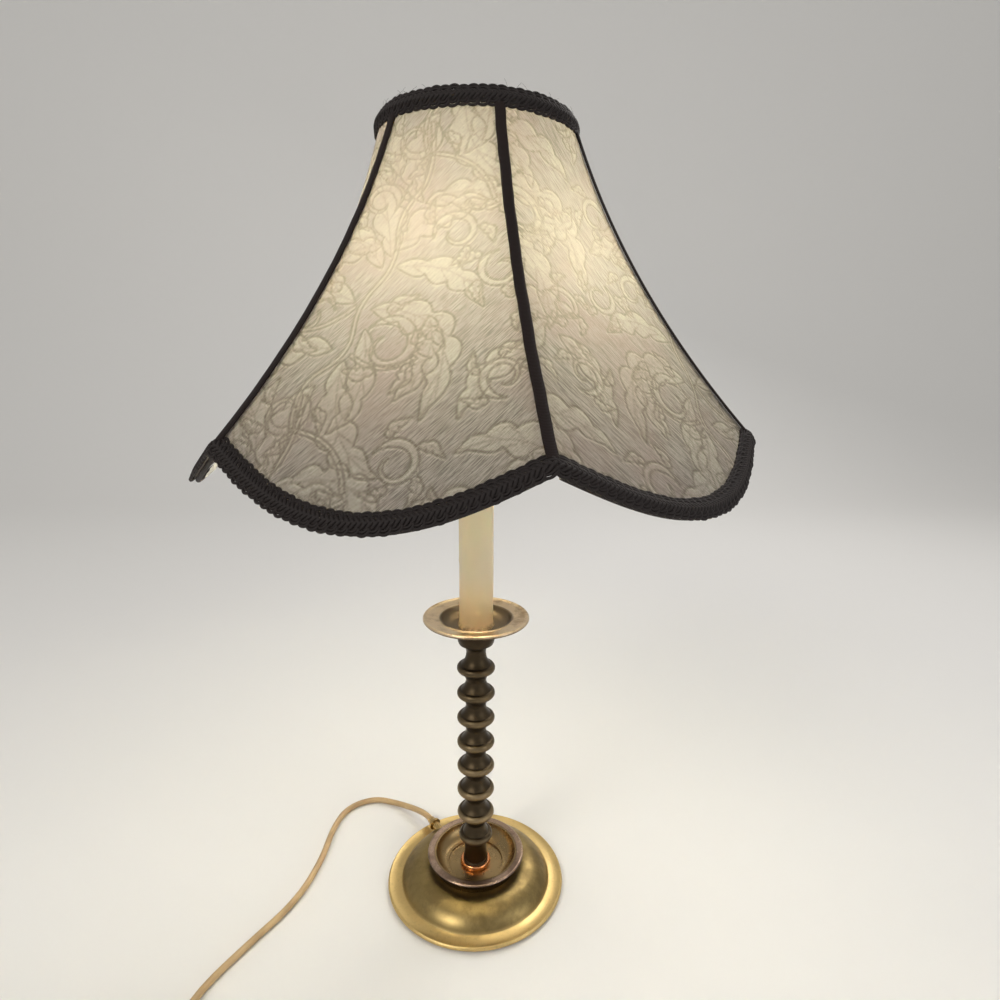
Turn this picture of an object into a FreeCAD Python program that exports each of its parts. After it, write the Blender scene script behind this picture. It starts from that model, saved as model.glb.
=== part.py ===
"""Candlestick table lamp: a turned brass stick on a dished base, an ivory candle sleeve,
a key switch lamp socket with bulb, harp and finial, and a six-panel scalloped bell shade.

Millimetres. +Z is up and the origin is the centre of the underside. -Y is the lamp's front.
"""
import FreeCAD, Part
import math
import os

import Sketcher
from FreeCAD import Vector

doc = FreeCAD.newDocument("candlestick_lamp")

# ---------------------------------------------------------------- driving sizes

SIZES = {
    # base
    "felt_thickness": 1.2,
    "felt_radius": 66.0,
    "base_radius": 70.0,
    "base_wall": 3.0,
    "flange_height": 3.4,        # top of the flange above the felt
    "flange_inner_radius": 58.6,
    "dome_top_radius": 33.0,
    "dome_top_height": 15.0,     # top of the dome above the felt
    "dome_bulge": 3.4,
    "seat_radius": 31.5,         # recess in the dome that the cup stands in
    "seat_height": 11.0,         # floor of that recess above the felt
    # cup on the base
    "cup_rim_radius": 38.2,
    "cup_height": 14.6,          # rim above the seat
    "cup_floor": 3.0,
    "cup_rim_width": 6.6,
    "cup_rim_thickness": 3.0,
    "cup_waist_radius": 33.6,
    "cup_floor_radius": 24.0,
    # stem: hollow threaded rod through the whole stick
    "stem_radius": 4.8,
    "stem_bore": 3.3,
    "stem_clearance": 0.25,
    "stem_end": 0.5,             # below the nut
    # column
    "collar_radius": 12.0,
    "collar_height": 3.6,
    "foot_radius": 9.7,
    "foot_height": 14.0,
    "foot_bead_radius": 13.2,
    "neck_radius": 7.6,
    "bead_radius": 14.4,
    "bead_pitch": 20.6,
    "bead_half_height": 3.0,
    "bead_shoulder": 12.0,
    "bead_count": 7,
    "column_cup_radius": 13.7,
    "column_cup_height": 28.8,
    # drip pan
    "pan_radius": 39.2,
    "pan_wall": 2.0,
    "pan_floor_radius": 17.0,
    "pan_bowl_radius": 26.5,
    "pan_depth": 8.0,
    "pan_lip": 2.1,
    # candle sleeve
    "candle_radius": 12.5,
    "candle_wall": 1.3,
    "candle_height": 101.5,
    "candle_flare": 0.9,
    "candle_flare_height": 3.0,
    "candle_cap_thickness": 2.4,
    "candle_cap_spigot": 4.5,
    "nut_across_flats": 16.0,
    "nut_height": 5.0,
    # harp saddle, harp and its two ferrules
    "saddle_thickness": 1.6,
    "saddle_width": 8.0,
    "saddle_reach": 27.0,
    "saddle_boss_radius": 9.0,
    "saddle_upright": 14.0,
    "saddle_pin": 6.0,
    "harp_wire_radius": 1.8,
    "harp_height": 216.0,
    "harp_half_width": 50.0,
    "harp_top_half_width": 9.0,
    "ferrule_wall": 1.1,
    "ferrule_height": 13.0,
    "running_clearance": 0.08,
    # lamp socket and bulb
    "socket_radius": 18.0,
    "socket_wall": 0.6,
    "socket_cap_height": 15.0,
    "socket_shell_height": 48.0,
    "socket_cap_neck": 8.5,
    "liner_thickness": 0.5,
    "liner_gap": 0.2,
    "liner_height": 46.0,
    "socket_body_radius": 14.6,
    "socket_body_height": 26.0,
    "socket_body_roof": 2.5,
    "socket_block_gap": 0.5,
    "screw_shell_radius": 13.8,
    "screw_shell_wall": 0.5,
    "screw_shell_height": 21.0,
    "contact_radius": 5.0,
    "contact_thickness": 1.0,
    "bulb_cap_height": 24.0,
    "bulb_radius": 30.0,
    "bulb_height": 82.0,
    "bulb_tip_radius": 3.6,
    "bulb_tip_height": 1.9,
    "bulb_cap_taper": 4.0,
    "bulb_wall": 1.0,
    "key_shaft_radius": 2.6,
    "key_shaft_clearance": 0.4,
    "key_drop": 14.0,            # key axis below the top of the socket body
    "key_grip_radius": 6.5,
    "key_grip_length": 9.0,
    "key_grip_depth": 0.6,       # share of the knob that the shaft reaches into
    "key_grip_flats": 8,
    "key_groove_radius": 1.3,
    "key_shaft_start": 4.0,      # of the shaft's inner end, from the lamp's axis
    "key_stand_off": 3.5,
    # stud and finial on the harp
    "stud_radius": 3.1,
    "stud_height": 13.0,
    "stud_seat_radius": 8.0,
    "stud_seat_height": 2.4,
    "finial_seat_radius": 7.5,
    "finial_seat_height": 4.0,
    "finial_knob_radius": 6.6,
    "finial_knob_height": 22.0,
    # shade frame
    "wire_radius": 1.5,
    "shade_top_radius": 57.8,
    "shade_rib_radius": 175.7,
    "shade_height": 188.2,       # ring to rib ends
    "rib_sag": 11.6,
    "scallop_drop": 33.5,
    "shade_turn": 11.0,          # degrees from the front to the first rib
    "panel_bow": 0.1,            # 0 flat across, 1 round
    "spider_rise": 10.0,         # ring above the hub
    "spider_hub_radius": 10.0,
    "spider_hub_thickness": 1.6,
    "panel_count": 6,
    # shade cloth and trim
    "cloth_gap": 0.15,
    "cloth_thickness": 0.8,
    "lining_thickness": 0.6,
    "trim_width": 12.0,
    "trim_thickness": 1.8,
    "trim_overhang": 3.3,        # past the wires' centres
    "piping_width": 5.2,
    "piping_thickness": 1.4,
    # base weight
    "weight_inner_radius": 22.0,
    "weight_outer_radius": 43.0,
    "weight_thickness": 4.0,
    # cord and its bushing
    "cord_radius": 2.5,
    "wire_lead_radius": 0.8,
    "bushing_radius": 3.4,
    "bushing_collar_radius": 5.0,
    "bushing_length": 20.0,
    "bushing_start": 46.0,       # from the lamp's axis
    "bushing_height": 9.85,      # of its inner end
    "bushing_tilt": 5.0,         # degrees
    "coil_radius": 25.0,
    "coil_columns": 5,
    "coil_layers": 2,
    "tie_width": 6.0,
    "tie_thickness": 0.8,
    "plug_width": 21.0,
    "plug_thickness": 13.0,
    "plug_length": 27.0,
    "blade_width": 6.3,
    "blade_thickness": 1.5,
    "blade_length": 17.0,
    "blade_spacing": 12.7,
}

sheet = doc.addObject("Spreadsheet::Sheet", "Sizes")
for row, (alias, number) in enumerate(SIZES.items(), start=1):
    sheet.set(f"A{row}", alias)
    sheet.set(f"B{row}", str(number))
    sheet.setAlias(f"B{row}", alias)
doc.recompute()


class Size:
    """A length together with the sheet expression that gives it, for binding sketches to cells."""

    def __init__(self, value, text):
        self.value = float(value)
        self.text = text

    @staticmethod
    def of(other):
        return other if isinstance(other, Size) else Size(other, repr(float(other)))

    def _with(self, other, sign, value):
        return Size(value, f"({self.text} {sign} {Size.of(other).text})")

    def __add__(self, other):
        return self._with(other, "+", self.value + Size.of(other).value)

    def __sub__(self, other):
        return self._with(other, "-", self.value - Size.of(other).value)

    def __mul__(self, other):
        return self._with(other, "*", self.value * Size.of(other).value)

    def __truediv__(self, other):
        return self._with(other, "/", self.value / Size.of(other).value)

    def __radd__(self, other):
        return Size.of(other) + self

    def __rsub__(self, other):
        return Size.of(other) - self

    def __rmul__(self, other):
        return Size.of(other) * self

    def __float__(self):
        return self.value


class Cells:
    """Gives each cell of the sheet by its alias, such as mm.base_radius."""

    def __getattr__(self, alias):
        return Size(sheet.get(alias), f"Sizes.{alias}")


mm = Cells()


def mid(a, b, share=0.5):
    """The size a share of the way from a to b."""
    return a + share * (b - a)


# ---------------------------------------------------------------- ways to make a piece

def plane_of(body, role):
    """The origin plane or axis of a body, found by its role."""
    return next(f for f in body.Origin.OriginFeatures if f.Role == role)


def new_sketch(body, name, role):
    sketch = body.newObject("Sketcher::SketchObject", name)
    sketch.AttachmentSupport = [(plane_of(body, role), "")]
    sketch.MapMode = "FlatFace"
    return sketch


def pin_point(sketch, geometry, end, x, y):
    """Fixes a sketch point at two sizes, bound to the sheet."""
    for kind, size, axis in (("DistanceX", x, -2), ("DistanceY", y, -1)):
        size = Size.of(size)
        if size.value == 0.0:
            sketch.addConstraint(Sketcher.Constraint("PointOnObject", geometry, end, axis))
        else:
            index = sketch.addConstraint(Sketcher.Constraint(kind, geometry, end, size.value))
            sketch.setExpression(f"Constraints[{index}]", size.text)


def arc_between(start, middle, end):
    """Arc of a circle, drawn anticlockwise; also says whether that runs from end to start."""
    clockwise = (middle - start).cross(end - middle).z < 0
    first, last = (end, start) if clockwise else (start, end)
    circle = Part.Arc(first, middle, last).toShape().Curve
    centre, radius = circle.Center, circle.Radius
    low = math.atan2(first.y - centre.y, first.x - centre.x)
    high = math.atan2(last.y - centre.y, last.x - centre.x)
    if high < low:
        high += 2 * math.pi
    return Part.ArcOfCircle(Part.Circle(centre, Vector(0, 0, 1), radius), low, high), clockwise


def draw_outline(sketch, outline):
    """Draws a closed outline of corners (x, y); ("via", x, y) is a point that an arc runs through."""
    corners = [p for p in outline if p[0] != "via"]
    vias = {}
    for place, point in enumerate(outline):
        if point[0] == "via":
            corner = sum(1 for p in outline[:place] if p[0] != "via") - 1
            vias[corner] = point[1:]
    joints = []
    for i, start in enumerate(corners):
        end = corners[(i + 1) % len(corners)]
        a, b = (Vector(float(p[0]), float(p[1]), 0) for p in (start, end))
        if i in vias:
            x, y = vias[i]
            middle = Vector(float(x), float(y), 0)
            curve, clockwise = arc_between(a, middle, b)
            arc = sketch.addGeometry(curve, False)
            joints.append((arc, 2, 1) if clockwise else (arc, 1, 2))
            through = sketch.addGeometry(Part.Point(middle), True)
            pin_point(sketch, through, 1, x, y)
            sketch.addConstraint(Sketcher.Constraint("PointOnObject", through, 1, arc))
        else:
            joints.append((sketch.addGeometry(Part.LineSegment(a, b), False), 1, 2))
    for i, (geometry, first, last) in enumerate(joints):
        following = joints[(i + 1) % len(joints)]
        sketch.addConstraint(Sketcher.Constraint("Coincident", geometry, last, following[0], following[1]))
        pin_point(sketch, geometry, first, *corners[i])


def turned(label, outline):
    """A body turned about Z from an outline of (radius, height) corners."""
    body = doc.addObject("PartDesign::Body", label)
    body.Label = label
    sketch = new_sketch(body, label + "_outline", "XZ_Plane")
    draw_outline(sketch, outline)
    turn = body.newObject("PartDesign::Revolution", label + "_turn")
    turn.Profile = sketch
    turn.ReferenceAxis = (sketch, ["V_Axis"])
    turn.Angle = 360
    sketch.Visibility = False
    return body


def tube_outline(inner, outer, low, high):
    return [(inner, low), (outer, low), (outer, high), (inner, high)]


def shaped(label, shape):
    """A node whose shape is set directly."""
    feature = doc.addObject("Part::Feature", label)
    feature.Label = label
    feature.Shape = shape
    return feature


def solid_of(shape):
    """The shape's only solid, with its volume positive."""
    solid = shape.Solids[0]
    return solid if solid.Volume > 0 else solid.reversed()


def rounded_path(points, largest=None):
    """Straight runs between points joined by tangent arcs, each as large as its two runs allow."""
    points = [Vector(*p) for p in points]
    edges, here, radii = [], points[0], []
    for before, corner, after in zip(points, points[1:], points[2:]):
        back, on = (before - corner), (after - corner)
        run = min(back.Length, on.Length)
        half_turn = (math.pi - back.getAngle(on)) / 2
        radius = 0.45 * run / math.tan(half_turn)
        if largest:
            radius = min(radius, largest)
        radii.append(radius)
        cut = radius * math.tan(half_turn)
        start, end = corner + back.normalize() * cut, corner + on.normalize() * cut
        middle = corner + (start + end - corner * 2).normalize() * (radius / math.cos(half_turn) - radius)
        edges += [Part.LineSegment(here, start).toShape(), Part.Arc(start, middle, end).toShape()]
        here = end
    edges.append(Part.LineSegment(here, points[-1]).toShape())
    return Part.Wire(edges), radii


def rod_along(path, radius):
    """A round solid of one radius along a smooth path."""
    first = path.Edges[0]
    start, heading = first.valueAt(first.FirstParameter), first.tangentAt(first.FirstParameter)
    ring = Part.Wire([Part.Circle(start, heading, radius).toShape()])
    return solid_of(path.makePipeShell([ring], True, True))


# ---------------------------------------------------------------- heights up the stick

felt_top = mm.felt_thickness
seat_z = felt_top + mm.seat_height
cup_floor_z = seat_z + mm.cup_floor
column_z = cup_floor_z + mm.collar_height
foot_bead_z = column_z + mm.foot_height + 0.42 * mm.bead_pitch
first_bead_z = foot_bead_z + mm.bead_pitch
last_bead_z = first_bead_z + (mm.bead_count - 1) * mm.bead_pitch
column_top_z = last_bead_z + mm.bead_half_height + mm.column_cup_height
pan_floor_z = column_top_z + mm.pan_wall
candle_top_z = pan_floor_z + mm.candle_height
saddle_z = candle_top_z + mm.candle_cap_thickness
socket_z = saddle_z + mm.saddle_thickness
socket_floor_z = socket_z + 0.4 * mm.socket_cap_height
shell_z = socket_z + mm.socket_cap_height
socket_block_z = shell_z + mm.socket_block_gap
socket_body_top_z = shell_z + mm.socket_body_height
key_z = socket_body_top_z - mm.key_drop
bulb_tip_z = socket_body_top_z + mm.contact_thickness + mm.running_clearance
bulb_cap_z = bulb_tip_z + mm.bulb_tip_height
bulb_top_z = bulb_cap_z + mm.bulb_cap_height + mm.bulb_height
harp_top_z = saddle_z + mm.harp_height
stud_seat_z = harp_top_z + mm.stud_seat_height
hub_z = stud_seat_z + mm.running_clearance
hub_top_z = hub_z + mm.spider_hub_thickness
ring_z = hub_z + 0.5 * mm.spider_hub_thickness + mm.spider_rise
bore_radius = mm.stem_radius + mm.stem_clearance
nut_z = seat_z - mm.base_wall - mm.nut_height
stem_bottom_z = nut_z - mm.stem_end


# ---------------------------------------------------------------- base

def base_shell():
    """Dished brass foot: flat flange, domed middle and a recess for the cup, hollow underneath."""
    wall = mm.base_wall
    flange_top = felt_top + mm.flange_height
    dome_top = felt_top + mm.dome_top_height
    bulge_r = mid(mm.dome_top_radius, mm.flange_inner_radius, 0.62)
    bulge_z = mid(dome_top, flange_top, 0.38) + 0.75 * mm.dome_bulge
    edge = 0.5 * mm.flange_height
    return turned("base_shell", [
        (bore_radius, seat_z - wall),
        (mm.dome_top_radius - wall, seat_z - wall),
        ("via", bulge_r - 0.8 * wall, bulge_z - 0.9 * wall),
        (mm.flange_inner_radius - wall, felt_top),
        (mm.base_radius - 0.35 * mm.flange_height, felt_top),
        ("via", mm.base_radius, felt_top + edge),
        (mm.base_radius - 0.35 * mm.flange_height, flange_top),
        ("via", mid(mm.base_radius, mm.flange_inner_radius, 0.55), flange_top - 0.22 * mm.flange_height),
        (mm.flange_inner_radius + 0.4, flange_top - 0.06 * mm.flange_height),
        (mm.flange_inner_radius, flange_top + 0.1 * mm.flange_height),
        ("via", bulge_r, bulge_z),
        (mm.dome_top_radius, dome_top),
        (mm.seat_radius, dome_top),
        (mm.seat_radius, seat_z),
        (bore_radius, seat_z),
    ])


def base_cup():
    """Turned cup with a broad rolled rim, standing in the dome's recess."""
    rim_z = seat_z + mm.cup_height
    foot_r = mm.seat_radius - mm.stem_clearance
    lip_r = mm.cup_rim_radius - mm.cup_rim_width
    under_z = rim_z - mm.cup_rim_thickness
    lift_z = felt_top + mm.dome_top_height + 0.5 * mm.stem_clearance
    return turned("base_cup", [
        (bore_radius, seat_z),
        (foot_r, seat_z),
        (foot_r, lift_z),
        (mm.cup_waist_radius - 0.6, lift_z),
        ("via", mm.cup_waist_radius - 0.2, mid(lift_z, under_z, 0.45)),
        (mid(mm.cup_waist_radius, mm.cup_rim_radius, 0.4), under_z),
        (mm.cup_rim_radius - 0.4 * mm.cup_rim_thickness, under_z + 0.1 * mm.cup_rim_thickness),
        ("via", mm.cup_rim_radius, rim_z - 0.45 * mm.cup_rim_thickness),
        (mm.cup_rim_radius - 0.4 * mm.cup_rim_thickness, rim_z),
        (lip_r, rim_z - 0.2 * mm.cup_rim_thickness),
        ("via", mid(lip_r, mm.cup_floor_radius, 0.62), mid(rim_z, cup_floor_z, 0.72)),
        (mm.cup_floor_radius, cup_floor_z + 0.5 * mm.cup_floor),
        (mm.cup_floor_radius - 2.4, cup_floor_z + 0.5 * mm.cup_floor),
        (mm.cup_floor_radius - 3.0, cup_floor_z),
        (bore_radius, cup_floor_z),
    ])


def felt_pad():
    return turned("felt_pad", tube_outline(0, mm.felt_radius, 0, felt_top))


# ---------------------------------------------------------------- column

def stem():
    """Hollow threaded rod that screws into the base and carries everything above it."""
    return turned("threaded_stem", tube_outline(
        mm.stem_bore, mm.stem_radius, stem_bottom_z, socket_floor_z))


def collar():
    """Copper lock collar under the column's foot."""
    return turned("lock_collar", [
        (bore_radius, cup_floor_z),
        (mm.collar_radius - 0.8, cup_floor_z),
        ("via", mm.collar_radius, mid(cup_floor_z, column_z)),
        (mm.collar_radius - 0.8, column_z),
        (bore_radius, column_z),
    ])


def bead_outline(radius, centre_z, inner):
    """One turned bead with a small step and a cove above and below."""
    half, shoulder, neck = mm.bead_half_height, mm.bead_shoulder, mm.neck_radius
    shoulder = radius - (mm.bead_radius - shoulder)
    cove = 0.5 * mm.bead_pitch - half
    return [
        (inner, centre_z - half - cove),
        (neck + 0.01, centre_z - half - cove),
        ("via", mid(neck, shoulder, 0.33), centre_z - half - 0.42 * cove),
        (shoulder - 0.5, centre_z - half),
        (shoulder, centre_z - half),
        ("via", radius, centre_z),
        (shoulder, centre_z + half),
        (shoulder - 0.5, centre_z + half),
        ("via", mid(neck, shoulder, 0.33), centre_z + half + 0.42 * cove),
        (neck + 0.01, centre_z + half + cove),
        (inner, centre_z + half + cove),
    ]


def column():
    """Turned spindle: a plain foot with a small bead, then equal beads, then a cup under the pan."""
    neck, cup_r = mm.neck_radius, mm.column_cup_radius
    half = mm.bead_half_height
    ledge = mm.foot_bead_radius - mm.bead_radius + mm.bead_shoulder
    waist_z = mid(foot_bead_z, first_bead_z)
    flare_z = column_top_z - 0.73 * mm.column_cup_height
    body = turned("column", [
        (bore_radius, column_z),
        (mm.foot_radius, column_z),
        (mm.foot_radius - 0.8, column_z + 0.08 * mm.foot_height),
        (mm.foot_radius, column_z + 0.2 * mm.foot_height),
        ("via", mm.foot_radius - 1.2, column_z + 0.7 * mm.foot_height),
        (ledge - 0.5, foot_bead_z - half),
        (ledge, foot_bead_z - half),
        ("via", mm.foot_bead_radius, foot_bead_z),
        (ledge, foot_bead_z + half),
        (ledge - 0.5, foot_bead_z + half),
        ("via", mid(neck, ledge, 0.34), mid(foot_bead_z + half, waist_z, 0.45)),
        (neck, waist_z),
        (neck, flare_z),
        ("via", mid(neck, cup_r, 0.26), flare_z + 0.24 * mm.column_cup_height),
        (cup_r - 0.8, flare_z + 0.32 * mm.column_cup_height),
        ("via", cup_r, flare_z + 0.4 * mm.column_cup_height),
        (cup_r - 0.4, column_top_z - 0.1 * mm.column_cup_height),
        (cup_r - 0.4, column_top_z),
        (bore_radius, column_top_z),
    ])
    sketch = new_sketch(body, "bead_outline", "XZ_Plane")
    draw_outline(sketch, bead_outline(mm.bead_radius, first_bead_z, mid(bore_radius, neck)))
    bead = body.newObject("PartDesign::Revolution", "bead")
    bead.Profile = sketch
    bead.ReferenceAxis = (sketch, ["V_Axis"])
    bead.Angle = 360
    doc.recompute()
    beads = body.newObject("PartDesign::LinearPattern", "beads")
    beads.Originals = [bead]
    beads.Direction = (plane_of(body, "Z_Axis"), [""])
    beads.Length = float((mm.bead_count - 1) * mm.bead_pitch)
    beads.setExpression("Length", ((mm.bead_count - 1) * mm.bead_pitch).text)
    beads.Occurrences = int(mm.bead_count.value)
    beads.setExpression("Occurrences", mm.bead_count.text)
    body.Tip = beads
    return body


# ---------------------------------------------------------------- pan and candle

def drip_pan():
    """Shallow turned dish with a flat flange and a bowl for the candle."""
    rim_z, wall = pan_floor_z + mm.pan_depth, mm.pan_wall
    bowl_top = rim_z - 0.22 * mm.pan_depth
    floor_r, bowl_r = mm.pan_floor_radius, mm.pan_bowl_radius
    return turned("drip_pan", [
        (bore_radius, column_top_z),
        (floor_r, column_top_z),
        ("via", mid(floor_r, bowl_r, 0.75), mid(column_top_z, bowl_top - wall, 0.45)),
        (bowl_r + 0.6 * wall, bowl_top - wall),
        (mm.pan_radius - mm.pan_lip, rim_z - 1.15 * mm.pan_lip),
        ("via", mm.pan_radius, rim_z - 0.5 * mm.pan_lip),
        (mm.pan_radius - 0.6 * mm.pan_lip, rim_z),
        (mm.pan_radius - 1.6 * mm.pan_lip, rim_z - 0.35 * mm.pan_lip),
        (bowl_r + 1.2, bowl_top),
        ("via", bowl_r + 0.4, bowl_top + 0.5),
        (bowl_r - 0.6, bowl_top - 0.2),
        ("via", mid(floor_r, bowl_r, 0.62), mid(pan_floor_z, bowl_top, 0.3)),
        (floor_r, pan_floor_z),
        (bore_radius, pan_floor_z),
    ])


def candle():
    """Ivory sleeve with a slightly spread foot."""
    outer, inner = mm.candle_radius, mm.candle_radius - mm.candle_wall
    return turned("candle_sleeve", [
        (inner, pan_floor_z),
        (outer + mm.candle_flare, pan_floor_z),
        ("via", outer + 0.3 * mm.candle_flare, pan_floor_z + 0.45 * mm.candle_flare_height),
        (outer, pan_floor_z + mm.candle_flare_height),
        (outer, candle_top_z),
        (inner, candle_top_z),
    ])


def candle_cap():
    """Brass cap that closes the sleeve and carries the saddle."""
    inner = mm.candle_radius - mm.candle_wall - mm.stem_clearance
    return turned("candle_cap", [
        (bore_radius, candle_top_z - mm.candle_cap_spigot),
        (inner, candle_top_z - mm.candle_cap_spigot),
        (inner, candle_top_z),
        (mm.candle_radius + 0.4, candle_top_z),
        ("via", mm.candle_radius + 0.7, mid(candle_top_z, saddle_z, 0.4)),
        (mm.candle_radius - 0.6, saddle_z),
        (bore_radius, saddle_z),
    ])


def hex_nut(label, low_z, across, height, hole):
    """Hexagon nut about Z."""
    body = doc.addObject("PartDesign::Body", label)
    body.Label = label
    sketch = new_sketch(body, label + "_flats", "XY_Plane")
    reach = across / math.sqrt(3)
    steps = [(math.cos(math.radians(60 * i)), math.sin(math.radians(60 * i))) for i in range(6)]
    draw_outline(sketch, [(reach * round(c, 9), reach * round(s, 9)) for c, s in steps])
    ring = sketch.addGeometry(Part.Circle(Vector(0, 0, 0), Vector(0, 0, 1), hole.value), False)
    sketch.addConstraint(Sketcher.Constraint("Coincident", ring, 3, -1, 1))
    index = sketch.addConstraint(Sketcher.Constraint("Radius", ring, hole.value))
    sketch.setExpression(f"Constraints[{index}]", hole.text)
    pad = body.newObject("PartDesign::Pad", label + "_pad")
    pad.Profile = sketch
    pad.Length = height.value
    pad.setExpression("Length", height.text)
    body.Placement.Base = Vector(0, 0, low_z.value)
    body.setExpression("Placement.Base.z", low_z.text)
    return body


# ---------------------------------------------------------------- saddle, harp and ferrules

def xz_plate(label, outline, width):
    """A plate with its outline in the XZ plane and its width centred on it."""
    body = doc.addObject("PartDesign::Body", label)
    body.Label = label
    sketch = new_sketch(body, label + "_side", "XZ_Plane")
    draw_outline(sketch, outline)
    pad = body.newObject("PartDesign::Pad", label + "_pad")
    pad.Profile = sketch
    pad.Midplane = True
    pad.Length = width.value
    pad.setExpression("Length", width.text)
    return body


def saddle_plate():
    """Bent strip under the socket, with a round pin at each end for the harp's legs."""
    half, thick = mm.saddle_reach, mm.saddle_thickness
    inner, outer = half - 0.5 * thick, half + 0.5 * thick
    up = saddle_z + mm.saddle_upright
    strip = xz_plate("saddle_strip", [
        (-1 * outer, saddle_z), (outer, saddle_z), (outer, up), (inner, up),
        (inner, socket_z), (-1 * inner, socket_z), (-1 * inner, up), (-1 * outer, up),
    ], mm.saddle_width)
    doc.recompute()
    shape = strip.Shape.copy()
    doc.removeObject(strip.Name)
    boss = Part.makeCylinder(float(mm.saddle_boss_radius), float(thick), Vector(0, 0, float(saddle_z)))
    hole = Part.makeCylinder(float(bore_radius), float(3 * thick), Vector(0, 0, float(saddle_z - thick)))
    pin_radius, pin_height = float(mm.harp_wire_radius), float(mm.saddle_pin)
    pins = [
        Part.makeCylinder(pin_radius, pin_height, Vector(side * float(half), 0, float(up)))
        for side in (-1, 1)
    ]
    return shaped("harp_saddle", solid_of(shape.fuse([boss] + pins).cut(hole).removeSplitter()))


def harp_points():
    """Centre line of the harp's wire, from its left foot over the top to its right foot."""
    foot = float(saddle_z + mm.saddle_upright + mm.saddle_pin)
    height = float(harp_top_z - mm.harp_wire_radius) - foot
    reach, wide, top = float(mm.saddle_reach), float(mm.harp_half_width), float(mm.harp_top_half_width)
    right = [
        (top, 0, foot + height),
        (0.66 * wide, 0, foot + 0.88 * height),
        (wide, 0, foot + 0.64 * height),
        (0.97 * wide, 0, foot + 0.4 * height),
        (reach, 0, foot + 0.24 * height),
        (reach, 0, foot),
    ]
    return [(-x, y, z) for x, y, z in reversed(right)] + right


def harp():
    path, _ = rounded_path(harp_points())
    return shaped("harp", rod_along(path, float(mm.harp_wire_radius)))


def ferrules():
    """Two sleeves that lock the harp's feet to the saddle's pins, and slide up to free them."""
    inner = mm.harp_wire_radius + mm.running_clearance
    low = saddle_z + mm.saddle_upright + 0.3
    for side, label in ((-1, "left_ferrule"), (1, "right_ferrule")):
        sleeve = turned(label, [
            (inner, low),
            (inner + mm.ferrule_wall, low),
            (inner + mm.ferrule_wall, low + 0.8 * mm.ferrule_height),
            (inner + 0.6 * mm.ferrule_wall, low + mm.ferrule_height),
            (inner, low + mm.ferrule_height),
        ])
        sleeve.setExpression("Placement.Base.x", (side * mm.saddle_reach).text)


def harp_stud():
    """Threaded stud with a round seat, set on the harp's top."""
    low = harp_top_z - 1.6 * mm.harp_wire_radius
    stud = turned("stud_turning", [
        (0, low),
        (mm.stud_seat_radius - 0.8, low),
        ("via", mm.stud_seat_radius, mid(low, stud_seat_z, 0.6)),
        (mm.stud_seat_radius - 0.4, stud_seat_z),
        (mm.stud_radius, stud_seat_z),
        (mm.stud_radius, stud_seat_z + mm.stud_height - 0.6),
        (mm.stud_radius - 0.6, stud_seat_z + mm.stud_height),
        (0, stud_seat_z + mm.stud_height),
    ])
    doc.recompute()
    shape = stud.Shape.copy()
    doc.removeObject(stud.Name)
    return shaped("harp_stud", solid_of(shape.cut(doc.getObject("harp").Shape)))


def finial():
    """Small urn-shaped brass nut that holds the shade down."""
    bore = mm.stud_radius + mm.running_clearance
    low = hub_top_z + mm.running_clearance
    seat_top = low + mm.finial_seat_height
    knob, ball = mm.finial_knob_height, 0.56 * mm.finial_knob_radius
    top = seat_top + knob
    return turned("finial", [
        (bore, low),
        (mm.finial_seat_radius, low),
        (mm.finial_seat_radius, low + 0.4 * mm.finial_seat_height),
        ("via", mm.finial_seat_radius - 1.2, low + 0.8 * mm.finial_seat_height),
        (0.72 * mm.finial_seat_radius, seat_top),
        (0.62 * mm.finial_knob_radius, seat_top + 0.12 * knob),
        ("via", mm.finial_knob_radius, seat_top + 0.42 * knob),
        (0.5 * mm.finial_knob_radius, seat_top + 0.68 * knob),
        (0.8 * ball, top - 1.6 * ball),
        ("via", ball, top - ball),
        (0, top),
        (0, stud_seat_z + mm.stud_height + 0.5),
        (bore, stud_seat_z + mm.stud_height + 0.5),
    ])


# ---------------------------------------------------------------- lamp socket

def socket_cap():
    """Brass cup that screws on the stem and carries the shell."""
    radius, wall, height = mm.socket_radius, mm.socket_wall, mm.socket_cap_height
    return turned("socket_cap", [
        (bore_radius, socket_z),
        (mm.socket_cap_neck, socket_z),
        (mm.socket_cap_neck, socket_z + 0.3 * height),
        ("via", mid(mm.socket_cap_neck, radius, 0.62), socket_z + 0.42 * height),
        (radius, shell_z - 0.2 * height),
        (radius, shell_z),
        (radius - wall, shell_z),
        (radius - wall, shell_z - 0.2 * height),
        ("via", mid(mm.socket_cap_neck, radius, 0.6) - wall, socket_z + 0.42 * height + 1.4 * wall),
        (mm.socket_cap_neck, socket_floor_z),
        (bore_radius, socket_floor_z),
    ])


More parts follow.
